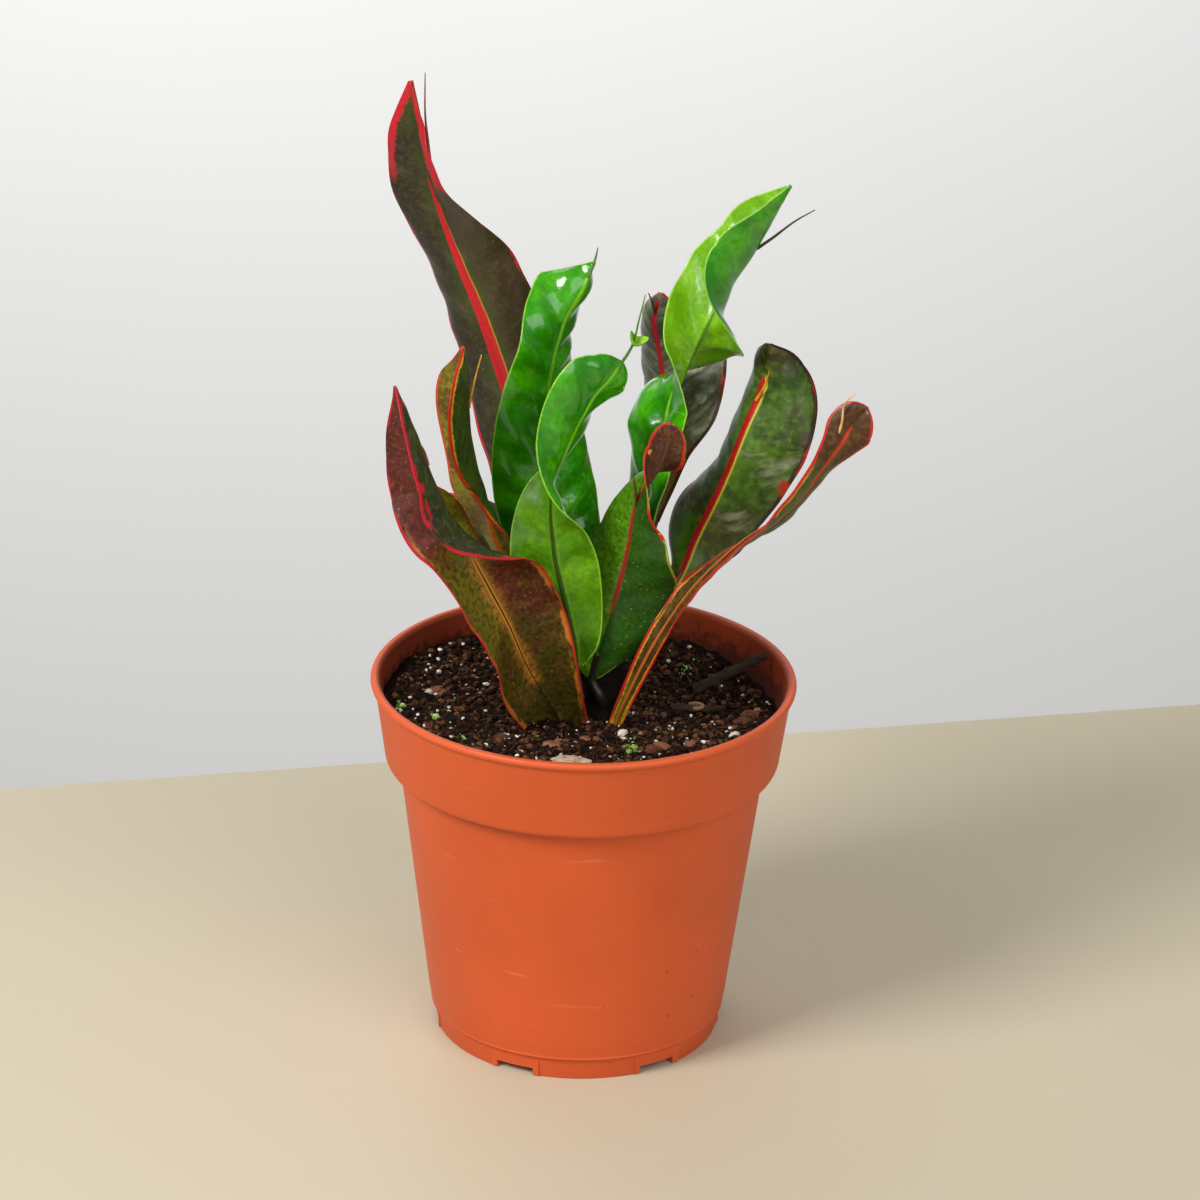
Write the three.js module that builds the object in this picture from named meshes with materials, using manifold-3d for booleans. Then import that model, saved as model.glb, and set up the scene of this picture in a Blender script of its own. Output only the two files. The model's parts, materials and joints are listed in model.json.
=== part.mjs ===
// A croton house plant in a round plastic nursery pot: pot, soil, woody stem, twelve ribbon
// leaves, two dead twigs and a bark chip. Millimetres, +Z up. While it is drawn the axis of the
// pot is x = y = 0 and the pot stands on z = 0; at the end the whole plant is centred on its box.

import * as THREE from 'three';
import * as BufferGeometryUtils from 'three/addons/utils/BufferGeometryUtils.js';
import Module from 'manifold-3d';

const wasm = await Module();
wasm.setup();

// ---------------------------------------------------------------- driving dimensions

const GAP = 0.3; // clearance between pieces that touch

const POT = {
  height: 95,
  rimRadius: 53.5, // outer edge of the rolled lip, a 107 mm pot
  lipHeight: 1.5,
  collarTop: 52.3, // the collar just under the lip
  collarBottom: 49.6,
  collarBottomZ: 73.5, // the collar's sharp lower edge
  bodyTop: 46.1, // the wall under the collar
  bodyBottom: 37.3,
  footRadius: 36,
  footHeight: 6,
  wall: 1.3,
  floorZ: 4.2, // underside of the raised floor
  floor: 1.4,
  sides: 48,
};

const FOOT_NOTCH = { count: 6, firstAngle: -115, width: 10, height: 2 };
const DRAIN = { count: 4, ringRadius: 22, radius: 4 };

const SOIL = {
  level: 87,
  frontRise: 4.5, // heaped towards the rim at the front
  leftRise: 1.5,
  hollow: { x: 33, y: 10, depth: 5, reach: 17 }, // sunken by the right wall
  crumb: 0.55,
  rings: 7,
};

const STEM = {
  points: [[5.3, -4, 66], [5.3, -4, 88], [5, -3.5, 100], [5, -3, 112], [5, -2.5, 122], [5, -2.4, 125]],
  radii: [5.8, 5.8, 5.2, 4.6, 3.6, 1.6],
  sides: 12,
};

const BLADE = {
  thickness: 0.8,
  midrib: 0.7, // how far the midrib stands out under the blade
  across: [-1, -0.55, -0.1, 0, 0.1, 0.55, 1],
  stepsPerRib: 2,
  arch: 0.1, // rise of each half between midrib and margin, over its width
};

const STALK = { base: 1.5, end: 0.8, sides: 7 };
const THREAD = { base: 0.55, end: 0.4, sides: 5 };

// Each leaf is a ribbon through its ribs, from the base to the tip. A rib holds the point on the
// midrib, the width of each half, and the turn of the right and left halves about the midrib:
// 0 degrees is to the right, 90 to the back, 180 to the left and -90 to the front.
// `upper` says which way the upper face looks at the base. `ripple` waves the margin.
// `stalk` runs from the stem to the first rib, and `thread` is the bare end of the midrib.
const LEAVES = {
  leaf_tall_dark: {
    upper: 'front',
    ripple: 0.5,
    waves: 3,
    ribs: [
      [1, 6, 106, 1.6, -10, 180],
      [-3, 11, 118, 8, -10, 169],
      [-9.5, 16, 136, 12, -9, 156],
      [-14.5, 20.5, 147, 14, -8, 142],
      [-20, 24.5, 160, 15, -10, 133],
      [-26.5, 28, 178, 15, -18, 129],
      [-32.5, 30.5, 192, 15, -28, 122],
      [-37, 32.5, 204, 14, -54, 134],
      [-40.4, 34, 214.5, 13, -82, 148],
      [-43, 35.5, 226, 10, -94, 148],
      [-45.8, 36, 238.5, 0.8, -90, 148],
    ],
    stalk: [[1.4, 0.9, 101], [0.4, 2.8, 102.5], [1, 6, 106]],
    thread: [[-40.4, 34, 214.5], [-41.4, 34, 223], [-42.2, 33.5, 231], [-42.3, 33.5, 241.5]],
  },
  leaf_back_green: {
    upper: 'front',
    ripple: 0.4,
    waves: 3,
    ribs: [
      [-2.6, 0, 103, 1.6, 15, 178],
      [-3.8, 2, 118, 8, 18, 176],
      [-8.5, 3.5, 136, 13, 28, 177],
      [-11, 5, 153.5, 13.5, 44, 196],
      [-10.5, 6, 169, 13, 60, 214],
      [-8.5, 6.5, 181, 12, 74, 217],
      [-6, 7.5, 188, 11, 82, 192],
      [-2.5, 9, 194, 10.8, 88, 164],
      [0.5, 11, 201, 0.8, 85, 150],
    ],
    stalk: [[-0.8, -2.1, 97], [-2.4, -1.5, 98.5], [-2.6, 0, 103]],
    thread: [[-1, 10, 197.5], [0.6, 11, 202], [1.2, 11, 205]],
  },
  leaf_twisted_green: {
    upper: 'back',
    ripple: 0.4,
    waves: 3,
    ribs: [
      [-2, -14, 103.5, 1.6, -5, 185],
      [-2.5, -15, 111, 6.5, -5, 180],
      [-5, -15.5, 122.5, 9.5, -8, 178],
      [-7.5, -16, 133.5, 11, -16, 188],
      [-8.5, -15.5, 144.5, 10, -50, 158],
      [-8, -15, 153.5, 9.5, -103, 108],
      [-5.5, -14, 161.5, 10.5, -134, 86],
      [-2.5, -13, 168, 12, -147, 81],
      [0.5, -12, 174, 12.5, -148, 77],
      [4.3, -10.5, 178.5, 10.3, -146, 67],
      [7.8, -8.5, 182.5, 0.8, -150, 60],
    ],
    stalk: [[-0.7, -6.7, 92], [-2.2, -10, 94.5], [-2.3, -13, 98.5], [-2, -14, 103.5]],
    thread: [[5.5, -9.3, 179.5], [9, -8, 184.5], [10.5, -8, 188], [11.5, -8, 193], [13, -8, 200]],
    cup: { at: [10.5, -8, 187], radius: 2.4, height: 2.6 },
  },
  leaf_spiral_green: {
    upper: 'front',
    ripple: 0.4,
    waves: 4,
    ribs: [
      [8.6, 3, 106, 1.6, 0, 180],
      [10.5, 3, 116, 5, -10, 160],
      [12.5, 2.5, 130, 8, -58, 134],
      [15.5, 2.5, 146, 12, -60, 114],
      [18.5, 4.5, 158, 13, -72, 134],
      [20, 7, 165.5, 13.5, -74, 126],
      [22, 8, 171, 12.5, -88, 92],
      [25, 9, 178.5, 11.5, -120, 38],
      [28, 8.5, 185, 11.5, -168, -20],
      [32, 9, 192, 13, -208, -98],
      [35.5, 9, 198.5, 14.5, -222, -132],
      [39, 9.5, 204, 14, -225, -137],
      [43, 10.5, 211.5, 11.5, -226, -135],
      [48, 11, 222, 0.8, -230, -138],
    ],
    stalk: [[8.8, 1, 100], [9.6, 2.6, 101.5], [8.6, 3, 106]],
    thread: [[40, 9.8, 206], [44, 10, 209], [49, 10.5, 213], [54, 11, 216]],
  },
  leaf_front_dark: {
    upper: 'front',
    ripple: 0.5,
    waves: 5,
    ribs: [
      [2, -10.9, 99.5, 1.6, -5, 185],
      [3.3, -11.5, 106.5, 7.5, 0, 172],
      [5.2, -12.5, 113.5, 12, 2, 160],
      [7, -13.3, 120.5, 14, 4, 148],
      [8.8, -14.5, 128.5, 14, 0, 138],
      [10.5, -15.5, 137.5, 11.5, -28, 130],
      [11.5, -16, 145.5, 8.5, -45, 124],
      [13.5, -16.5, 152, 7, -75, 105],
      [16.5, -17.5, 157.5, 6, -122, 42],
      [19, -17.5, 164, 4.8, -165, -10],
      [20, -17.5, 170.5, 0.8, -185, -25],
    ],
    stalk: [[4.6, -10.5, 92.5], [4, -11.6, 95], [2, -10.9, 99.5]],
    thread: [[12, -16.2, 148], [11.8, -16.8, 152], [11, -17, 156.5]],
  },
  leaf_back_grey: {
    upper: 'front',
    ripple: 0.5,
    waves: 3,
    ribs: [
      [17, 13, 132, 1.6, -50, 160],
      [18.5, 16, 139, 4.5, -55, 149],
      [20, 18.5, 148, 7.5, -52, 136],
      [20, 20.5, 156.5, 13, -28, 120],
      [18.5, 22.5, 164.5, 15.5, -8, 108],
      [17, 25, 173, 16.5, 0, 103],
      [15.5, 27, 180, 13.5, 2, 102],
      [17, 29, 187, 0.8, 5, 110],
    ],
    stalk: [[4.4, 2.4, 104], [5, 5.2, 105.5], [9.5, 9, 115], [14, 11.5, 125], [17, 13, 132]],
    thread: [[15.8, 27.5, 182], [15, 27, 185], [14, 27, 187.5]],
  },
  leaf_broad_right: {
    upper: 'front',
    ripple: 0.5,
    waves: 3,
    ribs: [
      [19.5, -4.5, 118, 1.6, 5, 165],
      [23.8, -1.9, 125, 4.2, 18, 136],
      [27, 1, 133, 13, 22, 119],
      [31, 2, 142, 14.5, 14, 106],
      [34.5, 3, 150.5, 15.5, -1, 97],
      [38, 5, 160, 17, -7, 93],
      [42, 7, 170, 15, 4, 96],
      [43.5, 7.7, 177, 9.5, 12, 106],
      [43.5, 8, 182, 0.8, 16, 112],
    ],
    stalk: [[11.2, -4.7, 96], [13, -5, 98], [16, -6, 107], [19.5, -4.5, 118]],
    thread: [[41, 6.5, 167.5], [43, 5, 172], [44, 5, 176]],
  },
  leaf_narrow_right: {
    upper: 'back',
    ripple: 0.2,
    waves: 4,
    ribs: [
      [8, -10.4, 82, 1.8, -20, 195],
      [8.3, -10.8, 87.5, 1.8, -20, 192],
      [11.5, -13.8, 97, 2.2, -47, 176],
      [16, -17, 108.5, 3, -66, 157],
      [20.5, -19.5, 118, 3.8, -90, 133],
      [26, -21, 127.5, 5, -98, 110],
      [33, -21.5, 136, 5.8, -101, 86],
      [39, -22, 142, 6.2, -111, 62],
      [46, -22.5, 147.5, 6.5, -121, 54],
      [52, -23, 154, 6, -130, 66],
      [56, -23, 160.5, 4, -145, 50],
      [60.5, -23, 167.5, 4.8, -170, 15],
      [63.7, -23, 173.2, 5.6, -193, -22],
      [67, -23, 178, 0.8, -200, -42],
    ],
    thread: [[59, -22.8, 166], [61, -23.5, 173.5], [61.5, -23.5, 178.5], [64, -23.5, 181.5]],
  },
  leaf_folded_front: {
    upper: 'back',
    ripple: 0.4,
    waves: 4,
    ribs: [
      [-5, -9.5, 82, 6, -12, 192],
      [-6, -10.5, 88, 7.5, -12, 200],
      [-9.5, -13, 95, 10.5, -13, 232],
      [-14.5, -16, 105, 13.5, -6, 250],
      [-19, -19.5, 117, 14.5, 6, 258],
      [-23.5, -23, 127.5, 14.5, 10, 256],
      [-27, -26, 136, 13, -10, 252],
      [-30, -28.5, 145, 12.5, -70, 225],
      [-33, -30, 150.5, 13, -98, 185],
      [-35.5, -30.5, 156, 13.5, -102, 165],
      [-38, -31, 161.5, 13, -101, 152],
      [-40.5, -31.5, 169, 11, -99, 142],
      [-43.5, -32, 177, 7, -98, 134],
      [-46.5, -32, 184, 0.8, -98, 130],
    ],
    thread: [[-38.5, -31.2, 163.5], [-39.5, -30, 166.5], [-40.5, -30, 168.5]],
  },
  leaf_left_striped: {
    upper: 'back',
    ripple: 0.4,
    waves: 3,
    ribs: [
      [-5.5, -4, 104.5, 1.6, -16, 183],
      [-11, -2.8, 115, 5.5, -22, 158],
      [-16.5, -3.5, 123, 8, -48, 134],
      [-21, -4, 130, 10, -55, 118],
      [-24, -5, 138.5, 10.5, -68, 132],
      [-26.5, -6, 149.5, 11, -92, 137],
      [-28.5, -6.5, 159, 13, -106, 130],
      [-29.5, -6.5, 168, 13.5, -111, 126],
      [-29.5, -6, 177, 11, -111, 126],
      [-31, -5.5, 184.5, 0.8, -107, 128],
    ],
    stalk: [[-1, -5.2, 98], [-2.6, -5.4, 99.3], [-5.5, -4, 104.5]],
    thread: [[-29.5, -6.5, 169], [-28.5, -8, 175], [-26.5, -8, 183.5]],
  },
  leaf_left_olive: {
    upper: 'back',
    ripple: 0.4,
    waves: 3,
    ribs: [
      [-6, -4, 93.5, 1.6, -10, 200],
      [-12, -6.5, 101.5, 6, 5, 218],
      [-20, -8.5, 111, 8.5, 20, 240],
      [-26.5, -9, 119.5, 9.5, 36, 260],
      [-32, -9.5, 126.5, 10, 42, 266],
      [-36, -10, 133.5, 10, 36, 262],
      [-39, -10.5, 140.5, 9, 20, 248],
      [-41, -11.5, 147.5, 6.5, 0, 228],
      [-42.5, -12.5, 153, 0.8, -12, 212],
    ],
    stalk: [[-1.7, -3.9, 91], [-3.4, -4, 91.7], [-6, -4, 93.5]],
  },
  leaf_back_left: {
    upper: 'front',
    ripple: 0.4,
    waves: 3,
    ribs: [
      [-4.5, 6, 99.5, 1.6, 10, 185],
      [-10, 12, 108, 7, 10, 190],
      [-19, 20, 117, 10, 12, 195],
      [-26, 27, 123, 9, 14, 200],
      [-33, 32, 127, 5.5, 14, 205],
      [-38, 35, 129, 0.8, 14, 205],
    ],
    stalk: [[1.4, 0.4, 95.2], [-0.6, 2.3, 96.2], [-4.5, 6, 99.5]],
  },
};

const TWIGS = {
  twig_leaning: { points: [[28, 17, 84.2], [36, 18.5, 88], [46, 19, 93.5]], radii: [1.3, 1.5, 1.1] },
  twig_lying: { points: [[22, 4, 85.4], [30, 6, 83.9], [36, 7, 84]], radii: [0.8, 1, 0.7] },
};

const CHIP = { x: -3, y: -45, lift: 1.2, length: 10, width: 7, height: 2.4 };

// ---------------------------------------------------------------- closed meshes and booleans

function closedGeometry(points, triangles) {
  const geometry = new THREE.BufferGeometry();
  geometry.setAttribute('position', new THREE.Float32BufferAttribute(points.flat(), 3));
  geometry.setIndex(triangles.flat());
  return geometry;
}

function toSolid(geometry) {
  const bare = geometry.clone();
  bare.deleteAttribute('normal');
  bare.deleteAttribute('uv');
  const merged = BufferGeometryUtils.mergeVertices(bare, 1e-4);
  return new wasm.Manifold(new wasm.Mesh({
    numProp: 3,
    vertProperties: new Float32Array(merged.attributes.position.array),
    triVerts: new Uint32Array(merged.index.array),
  }));
}

function toGeometry(solid) {
  const mesh = solid.getMesh();
  const geometry = new THREE.BufferGeometry();
  geometry.setAttribute('position', new THREE.BufferAttribute(mesh.vertProperties, 3));
  geometry.setIndex(new THREE.BufferAttribute(mesh.triVerts, 1));
  return geometry;
}

// ---------------------------------------------------------------- round rods along a curve

/** A closed rod through the points, whose radius runs evenly through the radii. */
function rod(points, radii, sides, steps = (points.length - 1) * 2) {
  const curve = new THREE.CatmullRomCurve3(points.map((p) => new THREE.Vector3(...p)));
  const frames = curve.computeFrenetFrames(steps, false);
  const vertices = [];
  const triangles = [];
  for (let i = 0; i <= steps; i++) {
    const centre = curve.getPointAt(i / steps);
    const radius = evenly(radii, i / steps);
    for (let k = 0; k < sides; k++) {
      const turn = (k / sides) * 2 * Math.PI;
      const p = centre.clone()
        .addScaledVector(frames.normals[i], radius * Math.cos(turn))
        .addScaledVector(frames.binormals[i], radius * Math.sin(turn));
      vertices.push(p.toArray());
    }
  }
  for (let i = 0; i < steps; i++) {
    for (let k = 0; k < sides; k++) {
      const a = i * sides + k;
      const b = i * sides + (k + 1) % sides;
      triangles.push([a, b, b + sides], [a, b + sides, a + sides]);
    }
  }
  for (let k = 1; k < sides - 1; k++) {
    const last = steps * sides;
    triangles.push([0, k + 1, k], [last, last + k, last + k + 1]);
  }
  return closedGeometry(vertices, triangles);
}

/** The value at fraction f of a list, by straight lines between its entries. */
function evenly(list, f) {
  const at = f * (list.length - 1);
  const i = Math.min(Math.floor(at), list.length - 2);
  return list[i] + (list[i + 1] - list[i]) * (at - i);
}

// ---------------------------------------------------------------- leaf blades

/** Catmull-Rom blend of the ribs either side of u, all their numbers alike. */
function ribAt(ribs, u) {
  const last = ribs.length - 1;
  const i = Math.max(0, Math.min(Math.floor(u), last - 1));
  const f = u - i;
  return ribs[i].map((_, c) => {
    const p1 = ribs[i][c];
    const p2 = ribs[i + 1][c];
    const p0 = i > 0 ? ribs[i - 1][c] : 2 * p1 - p2;
    const p3 = i + 2 <= last ? ribs[i + 2][c] : 2 * p2 - p1;
    const square = (2 * p0 - 5 * p1 + 4 * p2 - p3) * f * f;
    const cube = (3 * p1 - p0 - 3 * p2 + p3) * f * f * f;
    return 0.5 * (2 * p1 + (p2 - p0) * f + square + cube);
  });
}

/** A unit vector at a turn about the midrib: 0 to the right, 90 to the back. */
function sideways(ribs, u, degrees) {
  const step = 1e-3;
  const last = ribs.length - 1;
  const ahead = new THREE.Vector3(...ribAt(ribs, Math.min(u + step, last)));
  const behind = new THREE.Vector3(...ribAt(ribs, Math.max(u - step, 0)));
  const along = ahead.sub(behind).normalize();
  const right = new THREE.Vector3(1, 0, 0).addScaledVector(along, -along.x).normalize();
  const back = new THREE.Vector3().crossVectors(along, right);
  const turn = THREE.MathUtils.degToRad(degrees);
  return right.multiplyScalar(Math.cos(turn)).addScaledVector(back, Math.sin(turn));
}

/** The middle of the blade at u along the midrib and t across, from -1 (left) to 1 (right). */
function bladePoint(leaf, u, t, grow = 0) {
  const [x, y, z, width, right, left] = ribAt(leaf.ribs, u);
  const half = Math.max(width, 0.7) + grow;
  const outwards = t > 0 ? right : left;
  const towardsUpper = (t > 0 ? 90 : -90) * (leaf.upper === 'back' ? 1 : -1);
  const reach = Math.abs(t);
  const rise = BLADE.arch * half * 4 * reach * (1 - reach);
  const phase = 2 * Math.PI * leaf.waves * u / (leaf.ribs.length - 1) + (t > 0 ? 0 : 2);
  const ripple = leaf.ripple * reach * reach * Math.sin(phase) * Math.min(1, half / 8);
  return new THREE.Vector3(x, y, z)
    .addScaledVector(sideways(leaf.ribs, u, outwards), half * reach)
    .addScaledVector(sideways(leaf.ribs, u, outwards + towardsUpper), rise + ripple);
}

/** A closed blade: the same grid on both faces, split into triangles alike, and a strip round it. */
function blade(leaf, thickness = BLADE.thickness, grow = 0) {
  const rows = (leaf.ribs.length - 1) * BLADE.stepsPerRib + 1;
  const columns = BLADE.across.length;
  const middle = [];
  for (let i = 0; i < rows; i++) {
    middle.push(BLADE.across.map((t) => bladePoint(leaf, i / BLADE.stepsPerRib, t, grow)));
  }
  const towardsUpper = leaf.upper === 'back' ? 1 : -1;
  const upper = [];
  const under = [];
  for (let i = 0; i < rows; i++) {
    for (let j = 0; j < columns; j++) {
      const along = middle[Math.min(i + 1, rows - 1)][j].clone().sub(middle[Math.max(i - 1, 0)][j]);
      const over = middle[i][Math.min(j + 1, columns - 1)].clone().sub(middle[i][Math.max(j - 1, 0)]);
      const normal = along.cross(over).normalize().multiplyScalar(towardsUpper);
      const rib = BLADE.across[j] === 0 ? BLADE.midrib * (1 - 0.6 * i / rows) : 0;
      upper.push(middle[i][j].clone().addScaledVector(normal, thickness / 2).toArray());
      under.push(middle[i][j].clone().addScaledVector(normal, -thickness / 2 - rib).toArray());
    }
  }
  const triangles = [];
  const face = (a, b, c) => triangles.push(towardsUpper > 0 ? [a, b, c] : [a, c, b]);
  const shift = rows * columns;
  for (let i = 0; i < rows - 1; i++) {
    for (let j = 0; j < columns - 1; j++) {
      const a = i * columns + j;
      const [b, c, d] = [a + 1, a + columns + 1, a + columns];
      face(a, c, b);
      face(a, d, c);
      face(shift + a, shift + b, shift + c);
      face(shift + a, shift + c, shift + d);
    }
  }
  const outline = [];
  for (let j = 0; j < columns - 1; j++) outline.push([j, j + 1]);
  for (let i = 0; i < rows - 1; i++) outline.push([(i + 1) * columns - 1, (i + 2) * columns - 1]);
  const tip = (rows - 1) * columns;
  for (let j = columns - 1; j > 0; j--) outline.push([tip + j, tip + j - 1]);
  for (let i = rows - 1; i > 0; i--) outline.push([i * columns, (i - 1) * columns]);
  for (const [a, b] of outline) {
    face(a, b, shift + b);
    face(a, shift + b, shift + a);
  }
  return closedGeometry([...upper, ...under], triangles);
}

/** The blade with its stalk, its bare midrib thread and any cup on the thread, as one body. */
function leafGeometry(leaf) {
  let solid = toSolid(blade(leaf));
  if (leaf.stalk) {
    const root = leaf.ribs[1].slice(0, 3);
    const radii = [STALK.base, (STALK.base + STALK.end) / 2, STALK.end];
    solid = solid.add(toSolid(rod([...leaf.stalk, root], radii, STALK.sides)));
  }
  if (leaf.thread) {
    solid = solid.add(toSolid(rod(leaf.thread, [THREAD.base, THREAD.end], THREAD.sides)));
  }
  if (leaf.cup) {
    const { at, radius, height } = leaf.cup;
    const profile = [[0, 0], [radius * 0.5, height * 0.15], [radius, height], [0, height * 0.6]];
    const cup = new THREE.LatheGeometry(profile.map((p) => new THREE.Vector2(...p)), 12);
    solid = solid.add(toSolid(cup.rotateX(Math.PI / 2).translate(...at)));
  }
  return toGeometry(solid);
}

// ---------------------------------------------------------------- pot

/** A closed outline in radius and height, turned round the Z axis. */
function turned(outline, sides) {
  const points = outline.map(([r, z]) => new THREE.Vector2(r, z));
  return new THREE.LatheGeometry(points, sides).rotateX(Math.PI / 2);
}

function potInnerRadius(z) {
  const { bodyTop, bodyBottom, collarTop, collarBottom, collarBottomZ, footHeight, height, wall } = POT;
  if (z < collarBottomZ) {
    const f = Math.max(0, z - footHeight) / (collarBottomZ - footHeight);
    return bodyBottom + (bodyTop - bodyBottom) * f - wall;
  }
  return collarBottom + (collarTop - collarBottom) * (z - collarBottomZ) / (height - collarBottomZ) - wall;
}

function potGeometry() {
  const p = POT;
  const inset = 0.8; // small rounds at the lip and the collar's lower edge
  const outline = [
    [0, p.floorZ],
    [p.footRadius - p.wall - 0.6, p.floorZ],
    [p.footRadius - p.wall, 0],
    [p.footRadius, 0],
    [p.footRadius + 0.5, p.footHeight - inset],
    [p.bodyBottom, p.footHeight],
    [p.bodyTop, p.collarBottomZ - inset],
    [p.bodyTop + 0.3, p.collarBottomZ],
    [p.collarBottom - inset / 2, p.collarBottomZ],
    [p.collarBottom, p.collarBottomZ + inset],
    [p.collarTop, p.height - p.lipHeight - inset],
    [p.rimRadius - 0.2, p.height - p.lipHeight],
    [p.rimRadius, p.height - p.lipHeight / 2],
    [p.rimRadius - 0.4, p.height],
    [p.collarTop - p.wall + 0.6, p.height],
    [potInnerRadius(p.height - inset), p.height - inset],
    [potInnerRadius(p.collarBottomZ + 2), p.collarBottomZ + 2],
    [potInnerRadius(p.collarBottomZ - 1.2), p.collarBottomZ - 1.2],
    [p.bodyBottom - p.wall, p.floorZ + p.floor + 1],
    [p.bodyBottom - p.wall - 1, p.floorZ + p.floor],
    [0, p.floorZ + p.floor],
  ];
  let solid = toSolid(turned(outline, p.sides));
  for (let k = 0; k < FOOT_NOTCH.count; k++) {
    const turn = THREE.MathUtils.degToRad(FOOT_NOTCH.firstAngle + k * 360 / FOOT_NOTCH.count);
    const notch = new THREE.BoxGeometry(12, FOOT_NOTCH.width, 2 * FOOT_NOTCH.height)
      .translate(p.footRadius, 0, 0).rotateZ(turn);
    solid = solid.subtract(toSolid(notch));
  }
  for (let k = 0; k < DRAIN.count; k++) {
    const turn = (k + 0.5) * 2 * Math.PI / DRAIN.count;
    const hole = new THREE.CylinderGeometry(DRAIN.radius, DRAIN.radius, 12, 24)
      .rotateX(Math.PI / 2)
      .translate(DRAIN.ringRadius * Math.cos(turn), DRAIN.ringRadius * Math.sin(turn), p.floorZ);
    solid = solid.subtract(toSolid(hole));
  }
  return toGeometry(solid);
}

// ---------------------------------------------------------------- soil

/** Height of the soil's surface, with its slope, its hollow and its crumbs. */
function soilHeight(x, y) {
  const front = Math.max(0, -y / 50);
  const left = Math.max(0, -x / 50);
  const { hollow } = SOIL;
  const away = ((x - hollow.x) ** 2 + (y - hollow.y) ** 2) / (2 * hollow.reach ** 2);
  const crumbs = Math.sin(x * 0.93 + 1.3) * Math.sin(y * 1.07) + 0.6 * Math.sin(x * 0.41 - y * 0.53);
  const slope = SOIL.frontRise * front * front + SOIL.leftRise * left;
  return SOIL.level + slope - hollow.depth * Math.exp(-away) + SOIL.crumb * crumbs;
}

function soilGeometry() {
  const sides = POT.sides;
  const bottom = POT.floorZ + POT.floor + GAP;
  const shoulder = POT.collarBottomZ - 1.2;
  const edge = potInnerRadius(SOIL.level - 4) - GAP - 0.4;
  const vertices = [[0, 0, soilHeight(0, 0)]];
  const ring = (radius, height) => {
    for (let k = 0; k < sides; k++) {
      const turn = (k / sides) * 2 * Math.PI;
      const [x, y] = [radius * Math.cos(turn), radius * Math.sin(turn)];
      vertices.push([x, y, height ?? soilHeight(x, y)]);
    }
  };
  for (let r = 1; r <= SOIL.rings; r++) ring(edge * r / SOIL.rings);
  ring(potInnerRadius(POT.collarBottomZ + 2) - GAP - 0.4, POT.collarBottomZ + 2);
  ring(potInnerRadius(shoulder) - GAP - 0.6, shoulder);
  ring(POT.bodyBottom - POT.wall - 1.4, bottom);
  const loops = SOIL.rings + 3;
  vertices.push([0, 0, bottom]);
  const triangles = [];
  for (let k = 0; k < sides; k++) {
    const next = (k + 1) % sides;
    triangles.push([0, 1 + k, 1 + next]);
    for (let r = 0; r < loops - 1; r++) {
      const [a, b] = [1 + r * sides + k, 1 + r * sides + next];
      triangles.push([a, a + sides, b + sides], [a, b + sides, b]);
    }
    const last = 1 + (loops - 1) * sides;
    triangles.push([vertices.length - 1, last + next, last + k]);
  }
  let solid = toSolid(closedGeometry(vertices, triangles));
  const hole = rod(STEM.points, STEM.radii.map((r) => r + GAP), STEM.sides);
  solid = solid.subtract(toSolid(hole.translate(0, 0, -GAP)));
  for (const name of ['leaf_narrow_right', 'leaf_folded_front']) {
    const around = blade(LEAVES[name], BLADE.thickness + 4 * GAP, 3 * GAP);
    solid = solid.subtract(toSolid(around)).subtract(toSolid(around.translate(0, 0, -2 * GAP)));
  }
  return toGeometry(solid);
}

/** A flat, uneven chip of bark that lies on the soil. */
function chipGeometry() {
  const { x, y, lift, length, width, height } = CHIP;
  const chip = new THREE.IcosahedronGeometry(0.5, 1);
  const p = chip.attributes.position;
  for (let i = 0; i < p.count; i++) {
    const swell = 1 + 0.12 * Math.sin(9 * p.getX(i) + 2) * Math.cos(7 * p.getY(i));
    p.setXYZ(i, p.getX(i) * length * swell, p.getY(i) * width * swell, p.getZ(i) * height);
  }
  return toGeometry(toSolid(chip.rotateX(0.1).translate(x, y, soilHeight(x, y) + height / 2 + lift)));
}

// ---------------------------------------------------------------- finishes

const FINISH = {
  pot: { color: 0xc0552f, roughness: 0.55 },
  soil: { color: 0x3a261c, roughness: 0.95 },
  bark: { color: 0x3b2d24, roughness: 0.85 },
  chip: { color: 0xd8c3ab, roughness: 0.8 },
  green: { color: 0x3f9a22, roughness: 0.35 },
  dark: { color: 0x45402f, roughness: 0.4 },
  maroon: { color: 0x6e2f2a, roughness: 0.45 },
  olive: { color: 0x7d7b2c, roughness: 0.45 },
};

const LEAF_FINISH = {
  leaf_tall_dark: 'dark',
  leaf_back_green: 'green',
  leaf_twisted_green: 'green',
  leaf_spiral_green: 'green',
  leaf_front_dark: 'green',
  leaf_back_grey: 'dark',
  leaf_broad_right: 'dark',
  leaf_narrow_right: 'maroon',
  leaf_folded_front: 'maroon',
  leaf_left_striped: 'dark',
  leaf_left_olive: 'olive',
  leaf_back_left: 'dark',
};

function piece(name, geometry, finish) {
  const mesh = new THREE.Mesh(geometry, new THREE.MeshStandardMaterial({ metalness: 0, ...FINISH[finish] }));
  mesh.name = name;
  return mesh;
}

// ---------------------------------------------------------------- the plant

const plant = new THREE.Group();
plant.add(piece('pot', potGeometry(), 'pot'));
plant.add(piece('soil', soilGeometry(), 'soil'));
plant.add(piece('stem', rod(STEM.points, STEM.radii, STEM.sides), 'bark'));
for (const [name, leaf] of Object.entries(LEAVES)) {
  plant.add(piece(name, leafGeometry(leaf), LEAF_FINISH[name]));
}
for (const [name, twig] of Object.entries(TWIGS)) {
  plant.add(piece(name, rod(twig.points, twig.radii, 8), 'bark'));
}
plant.add(piece('bark_chip', chipGeometry(), 'chip'));

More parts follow.
